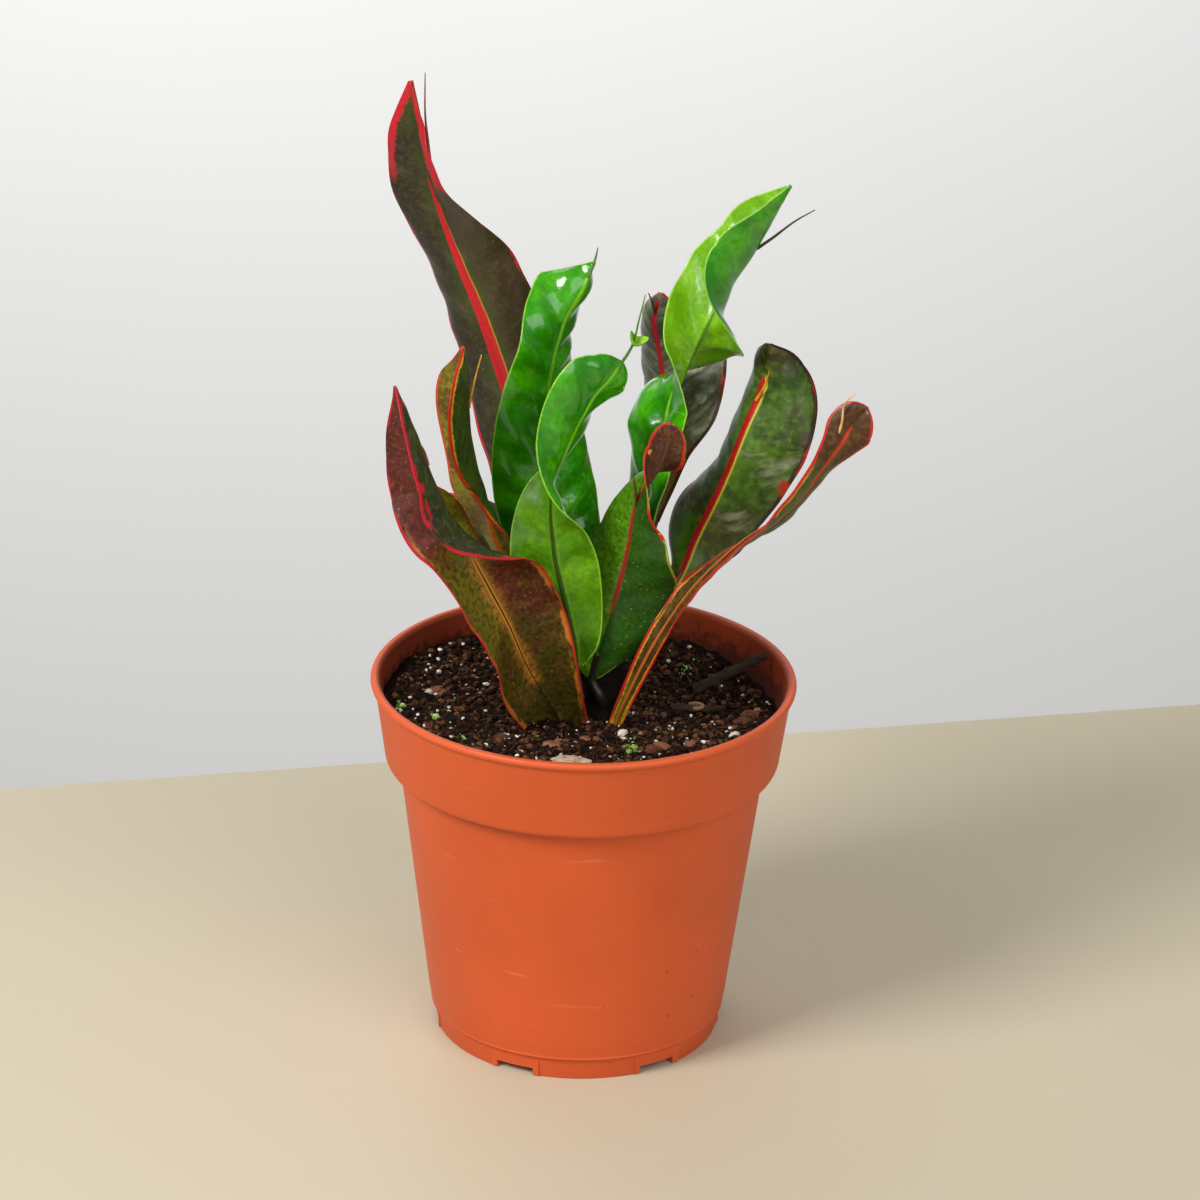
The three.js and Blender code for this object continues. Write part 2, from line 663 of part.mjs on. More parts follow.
const box = new THREE.Box3().setFromObject(plant);
const centre = box.getCenter(new THREE.Vector3());
plant.position.set(-centre.x, -centre.y, -box.min.z);

export default plant;
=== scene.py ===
import json
import random
from math import cos, dist, exp, hypot, pi, radians, sin, sqrt

import bpy
from bpy.props import FloatProperty, FloatVectorProperty, IntProperty, PointerProperty
from mathutils import Matrix, Vector, noise


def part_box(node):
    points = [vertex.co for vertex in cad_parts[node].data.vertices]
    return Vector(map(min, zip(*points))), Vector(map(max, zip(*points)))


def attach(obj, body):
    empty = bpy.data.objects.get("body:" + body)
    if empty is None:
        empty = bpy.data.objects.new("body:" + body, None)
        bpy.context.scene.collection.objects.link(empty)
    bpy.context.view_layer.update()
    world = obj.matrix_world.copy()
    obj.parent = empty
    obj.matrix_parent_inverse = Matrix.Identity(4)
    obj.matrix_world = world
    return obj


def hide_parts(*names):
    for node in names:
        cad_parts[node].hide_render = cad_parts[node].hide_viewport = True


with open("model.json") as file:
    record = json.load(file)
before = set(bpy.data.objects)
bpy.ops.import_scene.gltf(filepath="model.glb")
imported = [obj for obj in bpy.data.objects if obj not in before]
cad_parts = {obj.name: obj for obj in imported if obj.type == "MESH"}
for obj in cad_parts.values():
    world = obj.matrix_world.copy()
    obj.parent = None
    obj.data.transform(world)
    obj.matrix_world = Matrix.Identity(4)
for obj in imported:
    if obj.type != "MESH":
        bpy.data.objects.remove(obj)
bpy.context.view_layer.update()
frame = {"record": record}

bl_info = {
    "name": "Potted croton",
    "version": (1, 0, 0),
    "blender": (4, 5, 0),
    "location": "3D View > Sidebar > Croton",
    "description": "Builds a croton house plant in its nursery pot, piece by piece",
    "category": "Object",
}


def entries(text):
    """A table written as text, its rows parted by commas: numbers become numbers, words stay words."""
    return [[cell if cell.strip("-.0123456789") else float(cell) for cell in row.split()]
            for row in text.split(",")]


# Plant coordinates are millimetres with the pot's axis at x = y = 0 and its foot at z = 0.

MM = 0.001
BODY = "root"
POT_LOW, POT_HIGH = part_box("pot")
AXIS = Vector(((POT_LOW.x + POT_HIGH.x) / 2, (POT_LOW.y + POT_HIGH.y) / 2, POT_LOW.z))
SEED = 7

# The pot's outline: radius and height, from the middle of the floor's underside to its upper side.
POT_SIDES = 168
POT_OUTLINE = entries("""
    30 4.2, 34.1 4.2, 34.7 0, 35.9 0, 36.3 5.2, 37.1 5.9, 37.45 6.1, 37.25 6.5, 37.9 9.6, 46.1 72.7, 46.4 73.5,
    49.3 73.5, 49.7 74.5, 52.25 92.6, 53.2 93.4, 53.5 94.2, 53.1 95, 51.6 95, 51 94.2, 48.6 75.5, 44.7 72.3, 36 6.6,
    35 5.6, 30 5.6""")
POT_RADIUS, POT_HEIGHT = 53.5, 95
ROUNDING = 0.35
NOTCHES = {"count": 6, "first": -115, "size": (12, 10, 4)}
RIBS = {"inset": 3.4, "middle": 2.6, "size": (6.6, 1.6, 4.6)}  # the two ribs beside each notch
DRAINS = {"count": 4, "ring": 22, "radius": 4, "depth": 12, "middle": 4.2, "sides": 40}
SHARPEST = 32  # degrees, up to which the pot's faces shade as one

SOIL_LEVEL = 87
SOIL_TOP = SOIL_LEVEL + 0.5  # of the smooth block, whose top then takes the soil's level at each point
SOIL_FOOT = [(30, 6), (34.6, 6), (44.2, 72.3)]
SOIL_RINGS = 72
SOIL_SIDES = 200
CRUMB_REACH = 48.3  # how far from the pot's axis crumbs lie
LITTER_REACH = 47.5  # the same for larger pieces
FIBRE_REACH = 46
CRUMB_FLAT = 0.8  # height of a crumb as a share of its width
CRUMB_SIZES, GRIT_SIZES = (0.17, 1.05), (0.1, 0.6)
MOSS_TUFTS = 14  # in each place of moss
FIBRE_RADII, COIL_RADII = (0.13, 0.16, 0.07), (0.3, 0.55, 0.4)

STEM = entries("5.3 -4 66, 5.3 -4 88, 5 -3.5 100, 5 -3 112, 5 -2.5 122, 5 -2.4 125")
STEM_RADII = (5.8, 5.8, 5.2, 4.6, 3.6, 1.6)

TWIGS = {
    "twig_leaning": ([(28, 17, 84.2), (36, 18.5, 88), (46, 19, 93.5)], (1.3, 1.5, 1.1)),
    "twig_lying": ([(22, 4, 85.4), (30, 6, 83.9), (36, 7, 84)], (0.8, 1, 0.7)),
}
CHIP = {"x": -3, "y": -45, "lift": 1.2, "size": (10, 7, 2.4)}

# A leaf is a ribbon through its ribs, from base to tip: x, y and z on the midrib, the width of a
# half, and the turns of the right and left halves about the midrib (0 right, 90 back, -90 front).
# "upper" is the way the upper face looks. "ripple" and "waves" are the height and number of the
# margin's large waves. "blunt" is the share of the last full rib's width that rounds the tip.
# "faces" holds the looks of the upper face and the underside, the colours of stalk and thread, and
# the gap and strength of the swellings between the side veins. "stalk" runs from the stem to the
# first rib, and "thread" is the bare end of the midrib.
LEAVES = {
    "leaf_tall_dark": dict(
        upper="front", ripple=0.5, waves=3, faces="dark dark_under #3a3216 #8f4a3c 7 0.8", ribs="""
    1 6 106 1.6 -10 180, -3 11 118 8 -10 169, -9.5 16 136 12 -9 156, -14.5 20.5 147 14 -8 142,
    -20 24.5 160 15 -10 133, -26.5 28 178 15 -18 129, -32.5 30.5 192 15 -28 122, -37 32.5 204 14 -54 134,
    -40.4 34 214.5 13 -78 148, -43 35.5 226 10 -85 148, -45.8 36 238.5 0.8 -82 148""",
        stalk="1.4 0.9 101, 0.4 2.8 102.5",
        thread="-40.4 34 214.5, -41.4 34 223, -42.2 33.5 231, -42.3 33.5 241.5"),
    "leaf_back_green": dict(
        upper="front", ripple=0.4, waves=3, faces="green green_under #3c5c14 #4f7a20 10 3", ribs="""
    -2.6 0 103 1.6 15 178, -3.8 2 118 8 18 176, -8.5 3.5 136 13 28 177, -11 5 153.5 13.5 44 196,
    -10.5 6 169 13 60 214, -8.5 6.5 181 12 74 217, -6 7.5 188 11 82 192, -2.5 9 194 10.8 88 164,
    0.5 11 201 0.8 85 150""", stalk="-0.8 -2.1 97, -2.4 -1.5 98.5",
        thread="-1 10 197.5, 0.6 11 202, 1.2 11 205"),
    "leaf_twisted_green": dict(
        upper="back", ripple=0.4, waves=3, blunt=0.75, faces="green green_under #3c5c14 #4c8a10 11 2.2", ribs="""
    -2 -14 103.5 1.6 -5 185, -2.5 -15 111 6.5 -5 180, -5 -15.5 122.5 9.5 -8 178, -7.5 -16 133.5 11 -16 188,
    -8.5 -15.5 144.5 10 -50 158, -8 -15 153.5 9.5 -103 108, -5.5 -14 161.5 10.5 -134 86, -2.5 -13 168 12 -147 81,
    0.5 -12 174 12.5 -148 77, 4.3 -10.5 178.5 10.3 -146 67, 7.8 -8.5 182.5 0.8 -150 60""",
        stalk="-0.7 -6.7 92, -2.2 -10 94.5, -2.3 -13 98.5",
        thread="5.5 -9.3 179.5, 9 -8 184.5, 10.5 -8 188, 11.5 -8 193, 13 -8 200"),
    "leaf_spiral_green": dict(
        upper="front", ripple=0.4, waves=4, faces="green lime_under #3c5c14 #26330f 10 2.6", ribs="""
    8.6 3 106 1.6 0 180, 10.5 3 116 5 -10 160, 12.5 2.5 130 7 -75 134, 15.5 2.5 146 11 -77 114,
    18.5 4.5 158 13 -72 134, 20 7 165.5 13.5 -74 126, 22 8 171 12.5 -88 92, 25 9 178.5 11.5 -120 38,
    28 8.5 185 11.5 -168 -20, 32 9 192 13 -208 -98, 35.5 9 198.5 14.5 -222 -132, 39 9.5 204 14 -225 -137,
    43 10.5 211.5 11.5 -226 -135, 48 11 222 0.8 -230 -138""", stalk="8.8 1 100, 9.6 2.6 101.5",
        thread="40 9.8 206, 44 10 209, 49 10.5 213, 54 11 216"),
    "leaf_front_dark": dict(
        upper="front", ripple=0.5, waves=5, blunt=1, faces="forest rust_under #100e07 #5f1a12 8 0.8", ribs="""
    2 -10.9 99.5 1.6 -5 185, 3.3 -11.5 106.5 7.5 0 172, 5.2 -12.5 113.5 12 2 160, 7 -13.3 120.5 14 4 148,
    8.8 -14.5 128.5 14 0 138, 10.5 -15.5 137.5 11.5 -28 130, 11.5 -16 145.5 8.5 -45 124,
    13.5 -16.5 152 7 -75 105, 16.5 -17.5 157.5 6 -122 42, 19 -17.5 164 4.8 -165 -10, 20 -17.5 170.5 0.8 -185 -25""",
        stalk="4.6 -10.5 92.5, 4 -11.6 95", thread="12 -16.2 148, 11.8 -16.8 152, 11 -17 156.5"),
    "leaf_back_grey": dict(
        upper="front", ripple=0.5, waves=3, faces="grey grey #4a2a18 #4a3026 6 1.3", ribs="""
    17 13 132 1.6 -50 160, 18.5 16 139 4.5 -55 149, 20 18.5 148 7.5 -52 136, 20 20.5 156.5 13 -28 120,
    18.5 22.5 164.5 15.5 -8 108, 17 25 173 16.5 0 103, 15.5 27 180 13.5 2 102, 17 29 187 0.8 5 110""",
        stalk="4.4 2.4 104, 5 5.2 105.5, 9.5 9 115, 14 11.5 125",
        thread="15.8 27.5 182, 15 27 185, 14 27 187.5"),
    "leaf_broad_right": dict(
        upper="front", ripple=0.5, waves=3, faces="mottled maroon #74160f #d69a22 8 0.7", ribs="""
    19.5 -4.5 118 1.6 5 165, 23.8 -1.9 125 4.2 18 136, 27 1 133 13 22 119, 31 2 142 14.5 14 106,
    34.5 3 150.5 15.5 -1 97, 38 5 160 17 -7 93, 42 7 170 15 4 96, 43.5 7.7 177 9.5 12 106, 43.5 8 182 0.8 16 112""",
        stalk="11.2 -4.7 96, 13 -5 98, 16 -6 107", thread="41 6.5 167.5, 43 5 172, 44 5 176"),
    "leaf_narrow_right": dict(
        upper="back", ripple=0.2, waves=4, blunt=1, faces="slim slim_under #7a4a1a #d9a86a 6 0.5", ribs="""
    8 -10.4 82 1.8 -20 195, 8.3 -10.8 87.5 1.8 -20 192, 11.5 -13.8 97 2.2 -47 176, 16 -17 108.5 3 -66 157,
    20.5 -19.5 118 3.8 -90 133, 26 -21 127.5 5 -98 110, 33 -21.5 136 5.8 -101 86, 39 -22 142 6.2 -111 62,
    46 -22.5 147.5 6.5 -121 54, 52 -23 154 6 -130 66, 56 -23 160.5 4 -145 50, 60.5 -23 167.5 4.8 -170 15,
    63.7 -23 173.2 5.6 -193 -22, 67 -23 178 0.8 -200 -42""",
        thread="59 -22.8 166, 61 -23.5 173.5, 61.5 -23.5 178.5, 64 -23.5 181.5"),
    "leaf_folded_front": dict(
        upper="back", ripple=0.4, waves=4, faces="crimson maroon #4a3a12 #8f1c20 8 0.9", ribs="""
    -5 -9.5 82 6 -12 192, -6 -10.5 88 7.5 -12 200, -9.5 -13 95 10.5 -13 232, -14.5 -16 105 13.5 -6 250,
    -19 -19.5 117 14.5 6 258, -23.5 -23 127.5 14.5 10 256, -27 -26 136 13 -10 252, -30 -28.5 145 12.5 -70 225,
    -33 -30 150.5 13 -98 185, -35.5 -30.5 156 13.5 -102 165, -38 -31 161.5 13 -101 152,
    -40.5 -31.5 169 11 -99 142, -43.5 -32 177 7 -98 134, -46.5 -32 184 0.8 -98 130""",
        thread="-38.5 -31.2 163.5, -39.5 -30 166.5, -40.5 -30 168.5"),
    "leaf_left_striped": dict(
        upper="back", ripple=0.4, waves=3, faces="striped bronze_under #5a3a14 #d0a024 8 0.9", ribs="""
    -5.5 -4 104.5 1.6 -16 183, -11 -2.8 115 5.5 -22 158, -16.5 -3.5 123 8 -48 134, -21 -4 130 10 -55 118,
    -24 -5 138.5 10.5 -68 132, -26.5 -6 149.5 11 -92 137, -28.5 -6.5 159 13 -106 130,
    -29.5 -6.5 168 13.5 -111 126, -29.5 -6 177 11 -111 126, -31 -5.5 184.5 0.8 -107 128""",
        stalk="-1 -5.2 98, -2.6 -5.4 99.3", thread="-29.5 -6.5 169, -28.5 -8 175, -26.5 -8 183.5"),
    "leaf_left_olive": dict(
        upper="back", ripple=0.4, waves=3, faces="striped olive_under #5a4a18 #8a7a34 8 1", ribs="""
    -6 -4 93.5 1.6 -10 200, -12 -6.5 101.5 6 5 218, -20 -8.5 111 8.5 20 240, -26.5 -9 119.5 9.5 36 260,
    -32 -9.5 126.5 10 42 266, -36 -10 133.5 10 36 262, -39 -10.5 140.5 9 20 248, -41 -11.5 147.5 6.5 0 228,
    -42.5 -12.5 153 0.8 -12 212""", stalk="-1.7 -3.9 91, -3.4 -4 91.7"),
    "leaf_back_left": dict(
        upper="front", ripple=0.4, waves=3, faces="dark dark_under #3a3216 #3a3216 8 1", ribs="""
    -4.5 6 99.5 1.6 10 185, -10 12 108 7 10 190, -19 20 117 10 12 195, -26 27 123 9 14 200,
    -33 32 127 5.5 14 205, -38 35 129 0.8 14 205""", stalk="1.4 0.4 95.2, -0.6 2.3 96.2"),
}
STALK_RADII = (1.5, 1.15, 0.8)
THREAD_RADII = (0.45, 0.3, 0.13)
ACROSS = (0.03, 0.07, 0.12, 0.2, 0.3, 0.42, 0.55, 0.68, 0.8, 0.89, 0.95, 0.985, 1)
BLADE_STEPS = 9
ARCH = 0.1  # rise of a half of the blade as a share of its width
LEAST_HALF = 0.25

# The looks of a leaf's face: its ground, then layers painted over it in order, then the fringe
# beside the midrib, the midrib and its groove. A layer has its kind, colour, sizes in millimetres
# and strength, as leaf_finish() reads them, and may end with its side (1 the right half, -1 the
# left, 0 both) and the shares of the leaf's length between which it shows. "rib" is a colour, the
# half widths at base and tip, and the shares of the length where it starts and ends. "gloss" is
# the roughness, "coat" the weight of the clear coat and "fold" the depth of the fine folds.
COAT, FOLD = 0.12, 0.8
LAYER_STEP, LEAF_STEP, FACE_STEP = 7.3, 11.0, 5  # how far the patterns of two layers, leaves and faces lie apart
LAYER_SIZES = {"wash": 0, "veins": 1, "near": 1, "blotch": 3}  # how many sizes a layer has, 2 if not here
LOOKS = {
    # painted sheen: the grey-brown streak layer (#5f5242) of this look stands in for the leaf's gloss, not for its
    # colour.
    "dark": dict(ground="#241c0f", gloss=0.38, fringe="#b7901e 0.55 0.9 1", rib="#c3131f 2.3 0.75 0 1", layers="""
    wash #43321f 0.75 1, cloud #333a10 14 0.5 0.7, near #3a4f0c 7 0.85, fine #54402c 1.3 0.56 0.5,
    streak #5f5242 9 0.56 0.45, dots #8a8058 5 0.06 0.5, veins #423c22 4.2 0.14,
    edge #cf1a26 1.3 0.8 1 -1 0.3 0.74, edge #c31c28 3.1 1 1 -1 0.84 1.1, edge #c01c26 0.8 0.3 1 1 0.55 0.7,
    edge #b9121e 4 1 1 1 0.78 1.1"""),
    "dark_under": dict(ground="#4a2f22", gloss=0.5, fringe="#b96a2c 0.7 0.8 0", rib="#cf4a30 1.1 0.6 0 1", layers="""
    cloud #5f4226 12 0.5 0.7, fine #33221a 1.4 0.5 0.6, veins #6d482e 4.2 0.25, edge #c43a2c 1.2 0.6 1"""),
    # painted shade: the dark green wash (#124801) over the lowest quarter of the leaf darkens its base, where shade
    # falls among the leaves.
    "green": dict(ground="#268a01", gloss=0.2, coat=0.7, fold=1, rib="#86cf22 1 0.45 0 1", layers="""
    cloud #50b804 11 0.5 0.8, streak #155e01 8 0.52 0.5, fine #2f8403 1.5 0.5 0.35, wash #124801 0.6 0 -0.2 0.24,
    dots #c9dc3a 17 0.05 0.95, veins #5aa81c 6.5 0.08, edge #8fce34 0.35 1 0.85"""),
    # painted shade: the darker wash (#2f5a02) over the lowest eighth of the underside darkens its base, where shade
    # falls among the leaves.
    "green_under": dict(ground="#559307", gloss=0.38, coat=0.05, fringe="#6aa012 1 0.7 0", rib="#2f5204 0.5 0.35 0 1",
        layers="""
    cloud #79b613 12 0.5 0.8, streak #3c6e03 9 0.52 0.6, fine #437602 1.5 0.5 0.35, wash #2f5a02 0.6 0 -0.1 0.12,
    edge #9ccf3c 0.35 1 0.8"""),
    "lime_under": dict(ground="#78b812", gloss=0.26, coat=0.35, rib="#4f8608 0.5 0.35 0 1", layers="""
    cloud #9ad82c 12 0.5 0.8, streak #5c9a0a 8 0.52 0.55, fine #6cab10 1.5 0.5 0.3, dots #d8e23a 19 0.05 0.8,
    edge #b0e050 0.4 1 0.9"""),
    "forest": dict(ground="#264e0e", gloss=0.42, fringe="#6f5a12 0.3 0.6 0", rib="#9c1c14 0.55 0.45 0.25 0.78",
        layers="""
    cloud #356814 10 0.5 0.7, wash #568c03 0.9 -1, fine #1c3c0a 1.2 0.5 0.5, dots #8fb058 1.7 0.13 0.55,
    veins #3b6a1e 4.8 0.08, edge #a9a82c 0.6 0.7 0.9 1, edge #c8281e 1 0.55 1 1 0.5 1.1,
    blotch #bfae2a 3 0.64 1 1 1 0.35 0.8"""),
    "rust_under": dict(ground="#4f2a18", gloss=0.5, rib="#6b3420 0.35 0.2 0 1", layers="""
    cloud #673a20 7 0.5 0.7, fine #2c170e 1.1 0.52 0.7, dots #8f8a50 1.6 0.1 0.5, edge #c42c1e 0.8 0.75 1,
    blotch #d8a02c 3.5 0.66 1.6 1"""),
    "grey": dict(ground="#45462f", gloss=0.3, rib="#b0182a 0.9 0.65 0 0.97", layers="""
    cloud #5b5e40 9 0.5 0.9, streak #b0b298 6 0.5 0.9, fine #70725a 1.8 0.58 0.55, cloud #2b3f14 14 0.56 0.6,
    cloud #43281a 9 0.58 0.6, wash #7a5630 0.9 0 -0.2 0.34, edge #3a1a12 1 1 0.8,
    edge #c03c1c 1.2 0.35 1 1 0.5 0.85, edge #b8401c 1.6 1 1 0 0.84 1.1, edge #a8361a 0.5 0.25 1 -1"""),
    # painted sheen: the pale grey streak layer (#9a9880) on the right half, between 0.3 and 0.66 of the length, stands
    # for glossy highlights on the puckers.
    "mottled": dict(ground="#304f05", gloss=0.44, fringe="#c6bf20 0.7 0.95 1", rib="#b51018 0.5 1.05 0 0.81",
        layers="""
    cloud #52800a 12 0.5 0.85, cloud #45300f 15 0.55 0.85, wash #3f2c10 0.75 0 0.88 1.2,
    fine #638428 1.9 0.56 0.5, fine #1b300a 3.2 0.55 0.5, streak #9a9880 9 0.55 0.85 1 0.3 0.66,
    edge #2a0e10 1.3 1 0.9, edge #a82418 0.8 0.08 1 1 0.4 1.1, blotch #b03018 9 0.66 2.6 1 1,
    dots #c07a1e 13 0.045 0.9"""),
    "maroon": dict(ground="#56220f", gloss=0.5, fringe="#9c6a1c 0.7 0.85 0", rib="#cf8f2c 0.5 1.3 0.2 0.62",
        groove="#3c170c", layers="""
    cloud #70301a 14 0.5 0.75, wash #4d460a 1 0 -0.2 0.3, cloud #6b5a12 9 0.6 0.6, wash #66201e 0.9 0 0.6 1.2,
    wash #7f7a1e 0.95 -1 0.3 0.52, near #c79a2c 4 0.9 -1 0.33 0.5, near #c98426 3.6 1 0 0.2 0.6,
    fine #807828 1.1 0.62 0.5, fine #35150c 1.5 0.52 0.65, streak #8f342a 6 0.6 0.5, dots #c7a58a 2.6 0.06 0.6,
    edge #c97a28 1.7 0.45 0.9 0 -0.2 0.62, edge #c2341c 0.5 0.75 1 1, edge #b81c28 0.7 0.5 1 -1 0.5 1.1"""),
    "crimson": dict(ground="#2e301a", gloss=0.38, fringe="#7d2a1e 0.6 0.8 0", rib="#cf182f 1.1 0.9 0 1", layers="""
    cloud #434926 8 0.5 0.7, fine #62624a 1.5 0.56 0.5, fine #402818 2.4 0.56 0.5, edge #c41a2e 1 0.75 1,
    blotch #cf182f 6 0.6 2.6 1"""),
    "striped": dict(ground="#28340d", gloss=0.38, fringe="#d8a61c 0.6 0.9 0", rib="#d22c14 1 0.7 0 1", layers="""
    cloud #3e5212 8 0.5 0.7, fine #50602e 1.5 0.55 0.45, cloud #4a2d12 10 0.6 0.5, edge #d09c1a 1.5 0.55 0.9,
    edge #c4220f 0.9 0.85 1"""),
    "bronze_under": dict(ground="#5d480c", gloss=0.5, fringe="#9c861a 0.7 0.8 0", rib="#d8681a 1.1 0.7 0 1", layers="""
    cloud #8a8616 10 0.5 0.85, fine #5c240f 1.6 0.54 0.55, wash #5f2a0e 0.8 0 -0.2 0.18, fine #9c9734 1 0.6 0.5,
    edge #c84a1a 0.7 0.7 1"""),
    "olive_under": dict(ground="#74720f", gloss=0.5, fringe="#a08a24 0.6 0.8 0", rib="#cfa92a 1 0.6 0 1", layers="""
    cloud #979a1e 9 0.5 0.8, fine #5f4012 1.4 0.56 0.6, wash #5f340e 0.9 0 -0.2 0.15, fine #b2b23a 1 0.6 0.5,
    edge #8e3a1c 0.6 0.8 0.9"""),
    "slim": dict(ground="#32440f", gloss=0.42, fringe="#8a3a18 0.5 0.7 0", rib="#b8401c 0.35 0.5 0 0.93", layers="""
    cloud #4c6218 7 0.5 0.7, fine #626a3a 1.4 0.56 0.5, wash #4a2c14 1 0 0.8 1.2, fine #6b4a26 1.6 0.54 0.6,
    edge #d0921e 1.2 0.5 0.85 0 -0.2 0.78, edge #c4201c 0.65 0.9 1"""),
    "slim_under": dict(ground="#4c3210", gloss=0.5, rib="#b8622c 0.4 0.6 0 0.93", layers="""
    cloud #6b5218 7 0.5 0.7, fine #33200c 1.2 0.52 0.6, wash #6a6810 0.9 0 -0.2 0.15,
    edge #dca61e 1 0.65 0.9 0 -0.2 0.45, edge #c42a1c 0.6 0.85 1 0 0.1 1.1"""),
}

# The looks of what is grainy: dark, middle and light colour, scale of the grain, depth in metres,
# roughness, and 1 where the lumps differ in tone.
GRAINS = {
    "potting_mix": "#070301 #1c0d06 #4a2b18 420 0.0008 0.9 0",
    "soil_crumb": "#0d0502 #2f190c #6f4a30 900 0.0004 0.9 1",
    "white_grit": "#a89a88 #d9d0c2 #f4efe6 800 0.0002 0.75 1",
    "moss": "#4c6a2a #86a84a #c0d78c 1300 0.0003 0.85 1",
    "bark_bits": "#4a2c1e #7d4f3a #b98a70 500 0.0003 0.8 1",
    "plant_fibre": "#23150d #4f3422 #8a6a48 600 0.0001 0.9 0",
    "dry_curl": "#5d4233 #94705a #c9a78c 700 0.0002 0.9 0",
    # painted shade: the stem's colours are near black, darkened for the deep shadow it stands in among the leaves,
    # over its own dark brown bark.
    "stem_bark_in_shade": "#090604 #170f09 #2e2117 300 0.0005 0.8 0",
    "twig_bark": "#17100c #3a2c24 #6a564a 500 0.0003 0.85 0",
    "pale_bark": "#76523f #c9b098 #f2eadd 420 0.0006 0.8 0",
}

CUP = {"at": (10.5, -8, 187), "height": 2.4, "tilt": (18, 24), "sides": 32}
CUP_OUTLINE = entries("0.25 0, 0.945 0.24, 1.785 1.32, 2.1 2.4, 1.953 2.4, 1.575 1.488, 0.735 0.576, 0.1 0.48")

# Pieces on the soil that stand out: place across and back, and size, in millimetres.
GRIT_PLACES = entries("""
    -38.6 2 1.2, -18.3 -2 1.3, -14.2 -6.1 1.1, 9.9 -19.7 1.4, 37.8 -14.2 1.8, -36.9 27 0.8, -37.3 24.2 0.7,
    -25.1 35.6 1.1, -24.7 9.1 0.9, -32 41.4 0.6, -38.7 35.6 0.7, -21.2 12.7 0.6, -19.3 -4.4 0.8, 22.1 -10.9 0.9,
    44 -4.3 0.6, 43.5 -2.8 0.5, 46.1 14.1 0.6, 40.6 16.7 0.8, 30.2 -20.6 0.7, 8.6 -16 0.8, 10.4 -20.5 0.8,
    -9.3 -14.9 0.5, -18.6 -22 0.5, -32.1 -27.8 0.6""")
MOSS_PLACES = entries("""
    -36.7 -13.9 1.6, -45.7 -6.8 1.8, -31.7 -1.1 1, 11.9 -30.6 2.2, -14.2 -5.5 0.9, -9.4 -9.3 0.6, -29.4 -26.9 0.8,
    -11.2 -23.5 0.6, -6.2 -22.4 0.7, 21.9 -12 0.8, 15.9 4.9 0.5, 27.1 28.6 1.2, 25.3 26.8 0.7, 11.9 -21.9 1.2""")
BARK_PLACES = entries("""
    -20 -24.6 2.6, -7.6 -28.8 2.4, -37.3 3.1 1.8, -35.6 2.5 1.5, 17.5 -31 2.3, 19.8 -28.5 2, 42.1 3.2 2.6,
    40.6 0.4 2, 44 7.4 1.6, -5.4 -25.1 1.6, -41.2 5.2 1, 14.6 -17.4 1, 34.5 -1 1.6, 30.5 -4.2 1.3, 0.7 -23.6 1.5,
    4.4 -19.9 1.2, -22.7 -26.8 1.5, 26.7 -23 1.4""")
COIL = {"x": 28.5, "y": 6.2}

TABLE_EDGE = {"y": 163, "slope": 0.224}  # the table's back edge behind the pot
TABLE_SCALE = 3
WALL_SIZE, WALL_BEHIND, WALL_HEIGHT = 9, 3.2, 0.4  # metres
LIGHTS = {  # place and aim from the pot's foot in metres, size, share of the key light's power, colour
    "key_light": ((-0.82, -0.66, 1.0), (0, 0, 0.11), 0.5, 1, (1, 0.98, 0.95)),
    "fill_light": ((0.65, -1.2, 0.95), (0, 0, 0.11), 1.2, 0.72, (1, 1, 1)),
    "back_light": ((-0.4, 0.8, 1.0), (0, 0, 0.11), 0.8, 0.2, (1, 1, 1)),
    "wall_light": ((-0.35, 2.2, 0.35), (0, 3.2, -1.25), 2.0, 2.6, (1, 1, 1)),
}
ROOM_LIGHT, ROOM_COLOUR = 0.31, (1, 0.99, 0.98, 1)
CAMERA = {"lens": 171.5, "elevation": 23.25, "roll": 1.3, "target": (3.65, 0, 115.8), "distance": 1425}


def place(x, y, z):
    """A point of the plant, in millimetres, as a place in the frame."""
    return AXIS + Vector((x, y, z)) * MM


def paint(code):
    """A display colour such as #c0552f as linear red, green, blue and alpha."""
    parts = [int(code[i:i + 2], 16) / 255 for i in (1, 3, 5)]
    return tuple(p / 12.92 if p < 0.04045 else ((p + 0.055) / 1.055) ** 2.4 for p in parts) + (1.0,)


# Shader expressions.


class Term:
    """A shader socket that takes part in Python expressions."""

    def __init__(self, finish, socket):
        self.finish, self.socket = finish, socket

    def math(self, operation, *others):
        """A math node of this term and others."""
        inputs = dict(enumerate((self, *others)))
        return self.finish.node("ShaderNodeMath", {"operation": operation}, inputs)

    def __add__(self, other):
        return self.math("ADD", other)

    def __sub__(self, other):
        return self.math("SUBTRACT", other)

    def __mul__(self, other):
        return self.math("MULTIPLY", other)

    def __truediv__(self, other):
        return self.math("DIVIDE", other)

    def __abs__(self):
        return self.math("ABSOLUTE")

    __radd__, __rmul__ = __add__, __mul__


